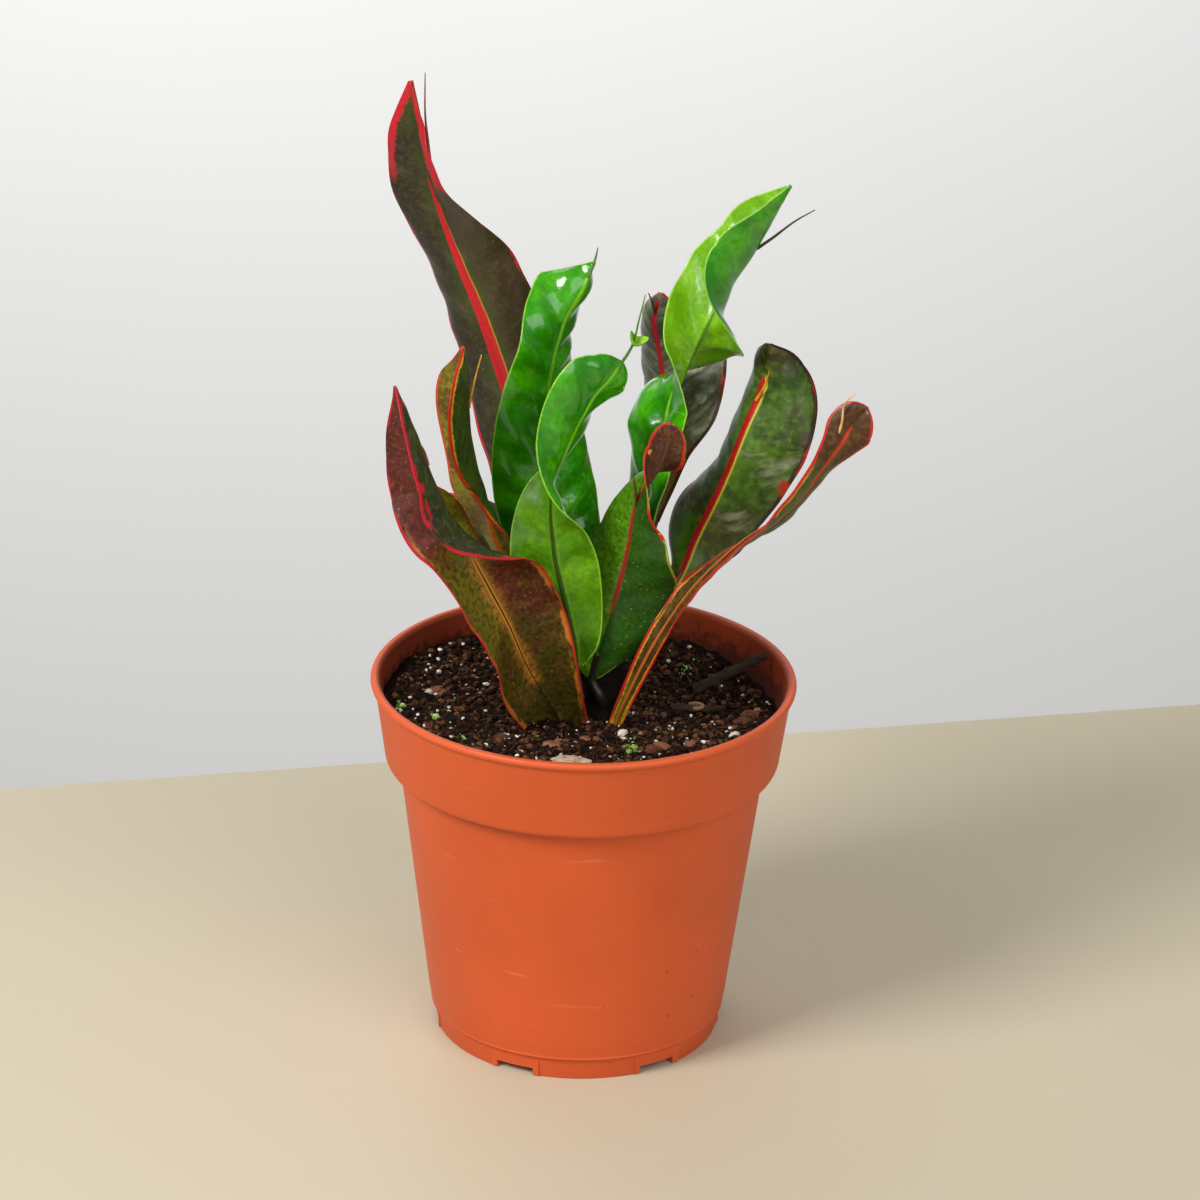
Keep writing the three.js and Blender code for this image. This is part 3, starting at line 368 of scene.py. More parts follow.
class Finish:
    """The node tree of one material, and the material itself."""

    def __init__(self, name, **constants):
        self.material = bpy.data.materials.new(name)
        self.material.use_nodes = True
        self.tree = self.material.node_tree
        self.shader = self.tree.nodes["Principled BSDF"]
        for socket, value in constants.items():
            self.shader.inputs[socket.replace("_", " ")].default_value = value

    def node(self, kind, settings=None, inputs=None, output=0):
        """A node of that kind with its settings, then its sockets' values or links."""
        made = self.tree.nodes.new(kind)
        for key, value in (settings or {}).items():
            setattr(made, key, value)
        for key, value in (inputs or {}).items():
            if isinstance(value, Term):
                self.tree.links.new(value.socket, made.inputs[key])
            else:
                made.inputs[key].default_value = value
        return Term(self, made.outputs[output])

    def feed(self, socket, term):
        self.tree.links.new(term.socket, self.shader.inputs[socket])

    def spread(self, value, low, high):
        """0 where value is at low, 1 at high, with soft ends."""
        settings = {"interpolation_type": "SMOOTHSTEP"}
        return self.node("ShaderNodeMapRange", settings, {"Value": value, "From Min": low, "From Max": high})

    def over(self, tint, mask):
        """Paints a colour over the material's colour so far."""
        self.colour = self.mix(self.colour, paint(tint) if isinstance(tint, str) else tint, mask)

    def mix(self, first, second, factor):
        settings = {"data_type": "RGBA"}
        return self.node("ShaderNodeMix", settings, {"Factor": factor, 6: first, 7: second}, output=2)

    def cloud(self, where, scale, detail=3.0, rough=0.55):
        inputs = {"Vector": where, "Scale": scale, "Detail": detail, "Roughness": rough}
        return self.node("ShaderNodeTexNoise", None, inputs)

    def spots(self, where, scale):
        return self.node("ShaderNodeTexVoronoi", None, {"Vector": where, "Scale": scale})

    def parts(self, vector):
        split = self.node("ShaderNodeSeparateXYZ", None, {"Vector": vector})
        return [Term(self, s) for s in split.socket.node.outputs]

    def point(self, x, y, z):
        return self.node("ShaderNodeCombineXYZ", None, {"X": x, "Y": y, "Z": z})

    def here(self):
        """The place on the piece, in metres."""
        return self.node("ShaderNodeTexCoord", output="Object")

    def mark(self, name, output="Fac"):
        """A value that was written on the piece's points."""
        return self.node("ShaderNodeAttribute", {"attribute_name": name}, output=output)

    def bump(self, height, depth, strength=1.0):
        """Raises the surface by height times depth, in metres."""
        inputs = {"Height": height, "Distance": depth, "Strength": strength}
        self.feed("Normal", self.node("ShaderNodeBump", None, inputs))


def leaf_finish(name, look, seed, gloss):
    """One face of a leaf, painted in the leaf's own millimetres across and along."""
    f = Finish(name, Coat_Weight=look.get("coat", COAT), Coat_Roughness=0.1, Specular_IOR_Level=0.26)
    across, along, half = f.parts(f.mark("leaf", "Vector"))
    height = f.mark("height")
    off = abs(across) * half
    inside = half - off
    aside = across * half
    flat = f.point(aside, along, seed)
    warp = f.cloud(flat, 0.11, 3)
    grain = f.cloud(flat, 0.9, 4, 0.65)
    sidelong = along - off * 0.6 + warp * 4
    level = height + (warp - 0.5) * 0.2
    right, left = f.spread(across, -0.02, 0.02), f.spread(across, 0.02, -0.02)
    f.colour = paint(look["ground"])

    def region(side=0, low=None, high=None):
        mask = {0: 1.0, 1: right, -1: left}[side]
        if low is not None:
            mask = f.spread(level, low - 0.04, low + 0.04) * f.spread(level, high + 0.04, high - 0.04) * mask
        return mask

    for count, (kind, code, *numbers) in enumerate(entries(look["layers"])):
        shifted = f.point(aside, along, seed + LAYER_STEP * count)
        sizes = LAYER_SIZES.get(kind, 2)
        width, share, rim = (numbers[:sizes] + [0, 0, 0])[:3]
        strength, *where = numbers[sizes:]
        if kind in ("cloud", "fine"):
            field = f.cloud(shifted, 1 / width, 4 if kind == "cloud" else 2, 0.6)
            mask = f.spread(field, share - 0.1, share + 0.12)
        elif kind == "streak":
            field = f.cloud(f.point(off / (width * 1.6), sidelong / (width * 0.45), seed + 5 * count), 1, 3, 0.6)
            mask = f.spread(field, share - 0.1, share + 0.14) * f.spread(warp, 0.36, 0.6)
        elif kind == "dots":
            mask = f.spread(f.spots(shifted, 1 / width), share * 1.25, share * 0.75)
        elif kind == "veins":
            line = abs((sidelong / width).math("FRACT") - 0.5) * 2
            mask = f.spread(line, 0.72, 1.0) * f.spread(inside, 0.2, 3.5)
        elif kind == "near":
            mask = f.spread(off, width, 0) * f.spread(warp, 0.3, 0.6)
        elif kind == "edge":
            reachable = width * (0.35 + 1.1 * grain)
            mask = f.spread(inside, reachable * 1.15, reachable * 0.8)
            if share < 1:
                ragged = f.cloud(f.point(across * 40, along, seed + 3 * count), 0.085, 2)
                mask = mask * f.spread(ragged, 0.4 + 0.3 * share, 0.34 + 0.3 * share)
        elif kind == "blotch":
            field = f.cloud(shifted, 1 / width, 1, 0.5)
            mask = f.spread(field, share - 0.03, share + 0.02) * f.spread(inside, rim * 1.3, rim * 0.7)
        else:
            mask = 1.0
        f.over(code, region(*where) * mask * strength)
    [(code, base, tip, start, end)] = entries(look["rib"])
    rough_off = off + (grain - 0.5) * 0.4
    width = (base + (tip - base) * height) * f.spread(height, end + 0.02, end - 0.05)
    shown = f.spread(height, start - 0.02, start + 0.1) if start else 1.0
    if "fringe" in look:
        [(tint, wider, strength, side)] = entries(look["fringe"])
        mask = f.spread(rough_off - width, wider, wider * 0.3) * f.spread(width, 0, 0.4) * strength
        f.over(tint, mask * region(side) * shown)
    f.over(code, f.spread(rough_off - width, 0.1, -0.15) * f.spread(width, 0.05, 0.3) * shown)
    if "groove" in look:
        f.over(look["groove"], f.spread(off, 0.42, 0.2))
    f.over("#0f1006", f.spread(grain, 0.7, 0.3) * 0.2)
    f.feed("Base Color", f.colour)
    f.feed("Roughness", (look["gloss"] + gloss) + (grain - 0.5) * 0.2 + (warp - 0.5) * 0.2)
    fold = f.cloud(f.point(off / 9, sidelong / 3.4, seed + 2), 1, 2)
    f.bump(grain * 0.25 + warp * 0.6 + fold * look.get("fold", FOLD) * f.spread(inside, 0.2, 2.5), 0.0003, 0.8)
    return f.material


def grainy_finish(name):
    """A matt, uneven finish from dark to light, such as soil, bark or grit."""
    [(*colours, scale, depth, rough, tone)] = entries(GRAINS[name])
    dark, middle, light = (paint(c) for c in colours)
    f = Finish(name, Roughness=rough, Specular_IOR_Level=0.15)
    where = f.here()
    coarse = f.cloud(where, scale, 5, 0.6)
    fine = f.cloud(where, scale * 5, 4, 0.7)
    level = coarse * 0.65 + fine * 0.35
    if tone:
        level = level * 0.6 + f.mark("tone") * 0.45
    colour = f.mix(f.mix(dark, middle, f.spread(level, 0.3, 0.52)), light, f.spread(level, 0.56, 0.78))
    f.feed("Base Color", colour)
    f.bump(coarse + fine * 0.5, depth)
    return f.material


def stalk_finish(name, code):
    """A smooth stalk or bare midrib, darker and lighter along its length."""
    f = Finish(name, Roughness=0.42)
    where = f.here()
    streak = f.cloud(where, 260, 3)
    colour = f.mix(paint(code), paint("#2c2412"), f.spread(streak, 0.62, 0.3) * 0.55)
    f.feed("Base Color", f.mix(colour, paint("#d9b45c"), f.spread(streak, 0.6, 0.8) * 0.35))
    f.bump(streak, 0.0002)
    return f.material


def pot_finish(settings):
    """Satin moulded plastic: clouded colour, fine grain, a painted highlight on the lip, painted shade towards the
    foot and on the inner wall, dust and soil marks.
    """
    f = Finish("pot_plastic", Specular_IOR_Level=0.3)
    where = f.here()
    x, y, z = f.parts(where)
    cloud = f.cloud(where, 16, 3)
    grain = f.cloud(where, 1400, 3, 0.6)
    drawn = f.cloud(f.point(x * 60, y * 60, z * 700), 1, 3)
    base, deep, pale = (tuple(min(1, c * share + more) for c in settings.color) + (1.0,)
                        for share, more in ((1, 0), (0.88, 0), (1.25, 0.03)))
    f.colour = f.mix(deep, base, f.spread(cloud, 0.3, 0.62))
    # painted highlight: the lip is lightened towards the pale tint.
    f.over(pale, f.spread(z, 0.0926, 0.0942) * 0.2)
    # painted shade: darker towards the foot, where the pot meets the table.
    f.over(deep, f.spread(z, 0.0065, 0.001) * 0.6)
    f.over("#7d2f18", f.spread(f.spots(where, 150), 0.1, 0.04) * f.spread(cloud, 0.4, 0.7) * 0.6)
    f.over("#e8a687", f.spread(drawn, 0.66, 0.8) * 0.22)
    radius = ((x - AXIS.x) * (x - AXIS.x) + (y - AXIS.y) * (y - AXIS.y)).math("SQRT")
    # inward marks the inner wall above 80 mm: it carries painted shade and bounds the soil marks.
    inward = f.spread(radius - z * 0.135, 0.0394, 0.0390) * f.spread(z, 0.080, 0.082)
    soiled = f.spread(z + f.cloud(where, 330, 4) * 0.014, 0.0985, 0.0945) * inward
    # painted shade: the inner wall is darkened, as it lies in shade inside the rim.
    f.over("#6e2411", inward * 0.55)
    f.over("#2c1a10", soiled * 0.7)
    f.feed("Base Color", f.colour)
    f.feed("Roughness", 0.47 + (cloud - 0.5) * 0.16 + (grain - 0.5) * 0.12 + soiled * 0.3)
    f.bump(grain + drawn * 0.6 + cloud, 0.00012, 0.5)
    return f.material


def floor_finish(name, colour, rough):
    """A plain painted surface with a faint unevenness."""
    f = Finish(name, Specular_IOR_Level=0.25)
    cloud = f.cloud(f.here(), 3, 4)
    light, shade = (tuple(c * share for c in colour) + (1.0,) for share in (1, 0.97))
    f.feed("Base Color", f.mix(light, shade, cloud))
    f.feed("Roughness", rough + (cloud - 0.5) * 0.08)
    f.bump(f.cloud(f.here(), 400, 2), 0.00004, 0.3)
    return f.material


# Modelling helpers.


def deselect():
    if bpy.context.object and bpy.context.object.mode != "OBJECT":
        bpy.ops.object.mode_set(mode="OBJECT")
    bpy.ops.object.select_all(action="DESELECT")


def hand_over(piece, name, materials=(), nodes=()):
    """Names a finished piece, gives it its finishes and puts it on the plant."""
    piece.name = piece.data.name = name
    for material in materials:
        piece.data.materials.append(material)
    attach(piece, BODY)
    if nodes:
        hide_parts(*nodes)


def settle():
    """Puts the place and turn of the piece at hand into its mesh."""
    bpy.ops.object.transform_apply(location=True, rotation=True, scale=True)
    return bpy.context.object


def rounded(outline, radius):
    """The outline with each corner drawn as a short curve."""
    points = [outline[0]]
    for before, corner, after in zip(outline, outline[1:], outline[2:]):
        ends = []
        for other in (before, after):
            reach = dist(corner, other)
            share = min(radius, reach * 0.45) / reach
            ends.append([c + (o - c) * share for c, o in zip(corner, other)])
        for f in (0, 1 / 3, 2 / 3, 1):
            points.append([a * (1 - f) ** 2 + 2 * c * f * (1 - f) + b * f * f
                           for a, c, b in zip(ends[0], corner, ends[1])])
    return points + [outline[-1]]


def swept(outline, sides):
    """A disc whose rim is extruded and resized from point to point of an outline."""
    deselect()
    radius, height = outline[0]
    bpy.ops.mesh.primitive_circle_add(vertices=sides, radius=radius * MM, fill_type="NGON",
                                      location=place(0, 0, height), enter_editmode=True)
    bpy.ops.mesh.select_all(action="SELECT")
    for r, z in outline[1:]:
        bpy.ops.mesh.extrude_region_move(TRANSFORM_OT_translate={"value": (0, 0, (z - height) * MM)})
        bpy.ops.transform.resize(value=(r / radius, r / radius, 1), center_override=place(0, 0, z))
        radius, height = r, z
    bpy.ops.mesh.select_all(action="SELECT")
    bpy.ops.mesh.normals_make_consistent(inside=False)
    bpy.ops.object.mode_set(mode="OBJECT")
    return settle()


def pick(piece):
    """Makes a piece the selected and active one."""
    deselect()
    piece.select_set(True)
    bpy.context.view_layer.objects.active = piece


def cut(piece, tool, operation="DIFFERENCE"):
    """Joins a tool to the piece, or cuts it away, and removes the tool."""
    pick(piece)
    change = piece.modifiers.new("cut", "BOOLEAN")
    change.operation, change.solver, change.object = operation, "EXACT", tool
    bpy.ops.object.modifier_apply(modifier=change.name)
    bpy.data.objects.remove(tool)


def block(centre, size, turn):
    """A box turned about the upright axis."""
    deselect()
    bpy.ops.mesh.primitive_cube_add(size=1, location=centre, rotation=(0, 0, turn), scale=[s * MM for s in size])
    return settle()


def new_piece(name, points, faces, **marks):
    """A piece with its own mesh, and with marks, numbers or vectors, written on the points."""
    mesh = bpy.data.meshes.new(name)
    mesh.from_pydata(points, [], faces)
    for mark, values in marks.items():
        if isinstance(values[0], tuple):
            spots = mesh.attributes.new(mark, "FLOAT_VECTOR", "POINT")
            spots.data.foreach_set("vector", [v for value in values for v in value])
        else:
            mesh.attributes.new(mark, "FLOAT", "POINT").data.foreach_set("value", values)
    mesh.update()
    piece = bpy.data.objects.new(name, mesh)
    bpy.context.collection.objects.link(piece)
    return piece


def smooth(piece):
    piece.data.polygons.foreach_set("use_smooth", [True] * len(piece.data.polygons))


class Shape:
    """Points, faces and values on the points, gathered into one mesh."""

    def __init__(self):
        self.points, self.faces, self.marks, self.leaf, self.height = [], [], [], [], []

    def add(self, points, faces, mark=0, leaf=None, height=None):
        first = len(self.points)
        self.points += points
        self.faces += [[first + i for i in face] for face in faces]
        self.marks += [mark] * len(faces) if isinstance(mark, int) else mark
        self.leaf += leaf or [(0, 0, 1)] * len(points)
        self.height += height or [0.0] * len(points)

    def hand_over(self, name, slot, materials, nodes=()):
        points = [place(*p) for p in self.points]
        piece = new_piece(name, points, self.faces, leaf=self.leaf, height=self.height)
        piece.data.polygons.foreach_set("material_index", self.marks)
        smooth(piece)
        hand_over(piece, name, materials, nodes)


def tube(rings, sides):
    """The faces of a closed tube, for its number of rings and the points in each."""
    faces = []
    for i in range(rings - 1):
        for k in range(sides):
            a, b = i * sides + k, i * sides + (k + 1) % sides
            faces.append([a, b, b + sides, a + sides])
    return faces + [list(reversed(range(sides))), [(rings - 1) * sides + k for k in range(sides)]]


def between(rows, u):
    """The blend of rows of numbers at u, smooth through each row."""
    i = max(0, min(int(u), len(rows) - 2))
    f = u - i
    b, c = rows[i], rows[i + 1]
    a = rows[i - 1] if i > 0 else [2 * p - q for p, q in zip(b, c)]
    d = rows[i + 2] if i + 2 < len(rows) else [2 * q - p for p, q in zip(b, c)]
    return [0.5 * (2 * q + (r - p) * f + (2 * p - 5 * q + 4 * r - s) * f * f + (3 * q - p - 3 * r + s) * f ** 3)
            for p, q, r, s in zip(a, b, c, d)]


def straight(values, f):
    """The value at fraction f of a list, by straight lines."""
    at = f * (len(values) - 1)
    i = min(int(at), len(values) - 2)
    return values[i] + (values[i + 1] - values[i]) * (at - i)


def rod(path, radii, sides, steps, swell=None):
    """Points and faces of a closed rod along a path; swell(turn, distance) changes its radius."""
    line = [Vector(between(path, i / steps * (len(path) - 1))) for i in range(steps + 1)]
    points, side, travelled = [], None, 0.0
    for i, centre in enumerate(line):
        ahead = (line[min(i + 1, steps)] - line[max(i - 1, 0)]).normalized()
        side = ahead.orthogonal() if side is None else side - ahead * side.dot(ahead)
        side.normalize()
        other = ahead.cross(side)
        travelled += (centre - line[i - 1]).length if i else 0
        for k in range(sides):
            turn = 2 * pi * k / sides
            radius = straight(radii, i / steps) * (swell(turn, travelled) if swell else 1)
            points.append(centre + (side * cos(turn) + other * sin(turn)) * radius)
    return points, tube(steps + 1, sides)


def blade(leaf, gap, swell, settings):
    """Points, faces, marks and leaf coordinates of one closed, thin, arched blade."""
    ribs = entries(leaf["ribs"])
    rows = (len(ribs) - 1) * BLADE_STEPS + 1
    across = [-t for t in reversed(ACROSS)] + [0] + list(ACROSS)
    columns = len(across)
    facing = 1 if leaf["upper"] == "back" else -1
    middle, coords, heights = [], [], []
    length, last = 0.0, None
    for i in range(rows):
        u = i / BLADE_STEPS
        x, y, z, width, right, left = between(ribs, u)
        rounding = u - len(ribs) + 2
        if rounding > 0:
            width = max(width, leaf.get("blunt", 0) * ribs[-2][3] * sqrt(max(0, 1 - rounding ** 2)))
        ahead, behind = (Vector(between(ribs, v)[:3]) for v in (min(u + 1e-3, len(ribs) - 1), max(u - 1e-3, 0)))
        along = (ahead - behind).normalized()
        side = (Vector((1, 0, 0)) - along * along.x).normalized()
        back = along.cross(side)
        spine = Vector((x, y, z))
        length += (spine - last).length if last else 0
        last = spine
        half = max(width, LEAST_HALF)
        calm = min(1, half / 8)
        for t in across:
            out = radians(right if t > 0 else left)
            up = out + radians(90 if t > 0 else -90) * facing
            reach = abs(t)
            phase = 2 * pi * leaf["waves"] * u / (len(ribs) - 1) + (0 if t > 0 else 2)
            lift = ARCH * half * 4 * reach * (1 - reach)
            lift += leaf["ripple"] * reach * reach * sin(phase) * calm
            wave = sin(length / 2.9 + (1.7 if t > 0 else 0) + sin(length / 7.0) * 1.5)
            lift += settings.margin_wave / MM * reach ** 3 * wave * calm
            middle.append(spine + (side * cos(out) + back * sin(out)) * half * reach
                          + (side * cos(up) + back * sin(up)) * lift)
            coords.append((t, length, half))
            heights.append(i / (rows - 1))
    upper, under = [], []
    for i in range(rows):
        for j in range(columns):
            lengthwise = middle[min(i + 1, rows - 1) * columns + j] - middle[max(i - 1, 0) * columns + j]
            crosswise = middle[i * columns + min(j + 1, columns - 1)] - middle[i * columns + max(j - 1, 0)]
            normal = lengthwise.cross(crosswise).normalized() * facing
            t, run, half = coords[i * columns + j]
            off = abs(t) * half
            fade = min(1, half / 6)
            pucker = settings.pucker / MM * swell * fade * sin(pi * abs(t)) * sin(
                2 * pi * (run - off * 0.6) / gap + 1.2 * sin(run / 6))
            thick = settings.thickness / MM * (1 - 0.5 * t * t) / 2
            groove = 0.2 * fade * exp(-(off / 0.5) ** 2)
            ridge = 0.62 * (1 - 0.6 * i / rows) * exp(-(off / 0.85) ** 2)
            point = middle[i * columns + j]
            upper.append(point + normal * (thick + pucker - groove))
            under.append(point + normal * (pucker - thick - ridge))
    faces, marks = [], []
    shift = rows * columns

    def face(corners, mark):
        faces.append(corners if facing > 0 else corners[::-1])
        marks.append(mark)

    for i in range(rows - 1):
        for j in range(columns - 1):
            a = i * columns + j
            b, c, d = a + 1, a + columns + 1, a + columns
            face([a, d, c, b], 0)
            face([shift + a, shift + b, shift + c, shift + d], 1)
    top = (rows - 1) * columns
    rim = [*range(columns - 1), *range(columns - 1, top, columns), *range(shift - 1, top, -1),
           *range(top, 0, -columns)]
    for a, b in zip(rim, rim[1:] + rim[:1]):
        face([a, b, shift + b, shift + a], 0)
    return upper + under, faces, marks, coords * 2, heights * 2


# Soil and what lies on it.


def soil_level(x, y):
    """Height of the soil, with its slope, its hollow and its small lumps."""
    front, left = max(0, -y / 50), max(0, -x / 50)
    away = ((x - 33) ** 2 + (y - 10) ** 2) / (2 * 17 ** 2)
    waves = sin(x * 0.93 + 1.3) * sin(y * 1.07) + 0.6 * sin(x * 0.41 - y * 0.53)
    return SOIL_LEVEL + 4.5 * front * front + 1.5 * left - 5 * exp(-away) + 0.55 * waves


def crumbly_level(x, y):
    spot = Vector((x, y, 3))
    return (soil_level(x, y) + 0.7 * noise.noise(spot * 0.33) + 0.55 * noise.noise(spot * 0.8)
            + 0.42 * abs(noise.noise(spot * 1.7)) + 0.22 * noise.noise(spot * 3.6))


def pot_radius(z):
    """The inner radius of the pot's upper part at a height."""
    (r1, z1), (r2, z2) = POT_OUTLINE[18:20]
    return r2 + (r1 - r2) * (z - z2) / (z1 - z2)


def scatter(name, seed_shape, spots, grain):
    """One piece made of many turned and stretched copies of a small shape."""
    base = [v.co.copy() for v in seed_shape.vertices]
    polygons = [list(p.vertices) for p in seed_shape.polygons]
    points, faces, tones = [], [], []
    draw = random.Random(SEED + len(spots))
    for x, y, z, size, flat in spots:
        turn = Matrix.Rotation(draw.uniform(0, 6.28), 3, Vector((draw.uniform(-1, 1), draw.uniform(-1, 1), 1)))
        stretch = Vector((draw.uniform(0.7, 1.3), draw.uniform(0.7, 1.2), draw.uniform(0.7, 1.1)))
        first, shade = len(points), draw.random()
        for co in base:
            bent = turn @ (co * stretch)
            bent *= size * (1 + 0.35 * noise.noise(bent * 1.3 + Vector((x, y, z))))
            points.append(place(x + bent.x, y + bent.y, z + bent.z * flat))
        faces += [[first + i for i in p] for p in polygons]
        tones += [shade] * len(base)
    hand_over(new_piece(name, points, faces, tone=tones), name, [grainy_finish(grain)])


def seed_lump(subdivisions):
    """A small ball that crumbs and grains are stretched from."""
    deselect()
    bpy.ops.mesh.primitive_ico_sphere_add(subdivisions=subdivisions, radius=1, location=(0, 0, 0))
    ball = bpy.context.object
    mesh = ball.data.copy()
    bpy.data.objects.remove(ball)
    return mesh


def soil_spots(draw, count, sizes, sunk=0.3):
    """Random places on the soil, clear of the pot's wall, with a size for each."""
    spots = []
    for _ in range(count):
        radius, turn = CRUMB_REACH * sqrt(draw.random()), draw.uniform(0, 2 * pi)
        x, y = radius * cos(turn), radius * sin(turn)
        size = sizes[0] + (sizes[1] - sizes[0]) * draw.random() ** 2.2
        spots.append((x, y, crumbly_level(x, y) + size * (1 - 2 * sunk) * CRUMB_FLAT, size, CRUMB_FLAT))
    return spots


def on_soil(places, flat=0.7):
    """Given places on the soil, x, y and size, drawn in where they would touch the pot's wall."""
    spots = []
    for x, y, size in places:
        inside = min(1, (LITTER_REACH - size) / hypot(x, y))
        x, y = x * inside, y * inside
        spots.append((x, y, crumbly_level(x, y) + size * flat * 0.45, size, flat))
    return spots


# Settings.


class PotSettings(bpy.types.PropertyGroup):
    rim_radius: FloatProperty(name="Rim radius", description="Outer radius of the pot's lip",
                              default=(POT_HIGH.x - POT_LOW.x) / 2, min=0.02, max=0.3, unit="LENGTH")
    height: FloatProperty(name="Height", description="Height of the pot", default=POT_HIGH.z - POT_LOW.z,
                          min=0.02, max=0.4, unit="LENGTH")
    color: FloatVectorProperty(name="Plastic", description="Colour of the pot's plastic", subtype="COLOR",
                               size=3, min=0, max=1, default=(0.64, 0.098, 0.022))


class SoilSettings(bpy.types.PropertyGroup):
    crumbs: IntProperty(name="Crumbs", description="Loose crumbs on the soil", default=9800, min=0, max=9900)
    grit: IntProperty(name="Grit", description="White grains on the soil", default=640, min=0, max=2000)
    fibres: IntProperty(name="Fibres", description="Plant fibres on the soil", default=240, min=0, max=1000)


class LeafSettings(bpy.types.PropertyGroup):
    thickness: FloatProperty(name="Thickness", description="Thickness of a blade beside its midrib",
                             default=0.0006, min=0.0002, max=0.002, unit="LENGTH")
    margin_wave: FloatProperty(name="Margin wave", description="Height of the small waves of the margin",
                               default=0.0003, min=0, max=0.003, unit="LENGTH")
    pucker: FloatProperty(name="Pucker", description="Height of the swellings between the side veins",
                          default=0.00022, min=0, max=0.002, unit="LENGTH")
    gloss: FloatProperty(name="Dullness", description="Added roughness of every leaf", subtype="FACTOR",
                         default=0.0, min=-0.2, max=0.5)


class StageSettings(bpy.types.PropertyGroup):
    floor: FloatVectorProperty(name="Table", description="Colour of the table top", subtype="COLOR", size=3,
                               min=0, max=1, default=(0.58, 0.52, 0.385))
    wall: FloatVectorProperty(name="Wall", description="Colour of the wall behind", subtype="COLOR", size=3,
                              min=0, max=1, default=(0.80, 0.80, 0.79))
    key: FloatProperty(name="Key light", description="Power of the main soft light", default=16.5, min=0,
                       max=500, subtype="POWER", unit="POWER")


# Operators.


class CROTON_OT_pot(bpy.types.Operator):
    """Builds the moulded nursery pot with its lip, collar, notched foot and drain holes"""
    bl_idname = "croton.pot"
    bl_label = "Pot"

    def execute(self, context):
        settings = context.scene.croton_pot
        wider = settings.rim_radius / MM / POT_RADIUS
        taller = settings.height / MM / POT_HEIGHT
        outline = [(r * wider, z * taller) for r, z in rounded(POT_OUTLINE, ROUNDING)]
        pot = swept(outline, POT_SIDES)
        foot = POT_OUTLINE[3][0] * wider
        turns = [radians(NOTCHES["first"] + k * 360 / NOTCHES["count"]) for k in range(NOTCHES["count"])]
        aside = (NOTCHES["size"][1] + RIBS["size"][1]) / 2
        for turn in turns:
            for edge in (-aside, aside):
                inner = Matrix.Rotation(turn, 3, "Z") @ Vector((foot - RIBS["inset"], edge, RIBS["middle"]))
                cut(pot, block(place(*inner), RIBS["size"], turn), "UNION")
        for turn in turns:
            cut(pot, block(place(foot * cos(turn), foot * sin(turn), 0), NOTCHES["size"], turn))
        for k in range(DRAINS["count"]):
            turn = (k + 0.5) * 2 * pi / DRAINS["count"]
            at = place(DRAINS["ring"] * cos(turn), DRAINS["ring"] * sin(turn), DRAINS["middle"])
            deselect()
            bpy.ops.mesh.primitive_cylinder_add(vertices=DRAINS["sides"], radius=DRAINS["radius"] * MM,
                                                depth=DRAINS["depth"] * MM, location=at)
            cut(pot, settle())
        pick(pot)
        bpy.ops.object.shade_smooth_by_angle(angle=radians(SHARPEST))
        hand_over(pot, "pot_shell", [pot_finish(settings)], ["pot"])
        return {"FINISHED"}


class CROTON_OT_soil(bpy.types.Operator):
    """Fills the pot with potting mix"""
    bl_idname = "croton.soil"
    bl_label = "Soil"

    def execute(self, context):
        edge = pot_radius(SOIL_LEVEL) + 0.15
        outline = SOIL_FOOT + [(pot_radius(76), 76), (edge, 84), (edge, SOIL_TOP)]
        outline += [(edge * (1 - k / SOIL_RINGS), SOIL_TOP + 0.001 * k) for k in range(1, SOIL_RINGS)]
        soil = swept(outline, SOIL_SIDES)
        for vertex in soil.data.vertices:
            x, y, z = (vertex.co - AXIS) / MM
            if z > SOIL_LEVEL:
                vertex.co = place(x, y, crumbly_level(x, y))
        smooth(soil)
        hand_over(soil, "soil_bed", [grainy_finish("potting_mix")], ["soil"])
        return {"FINISHED"}


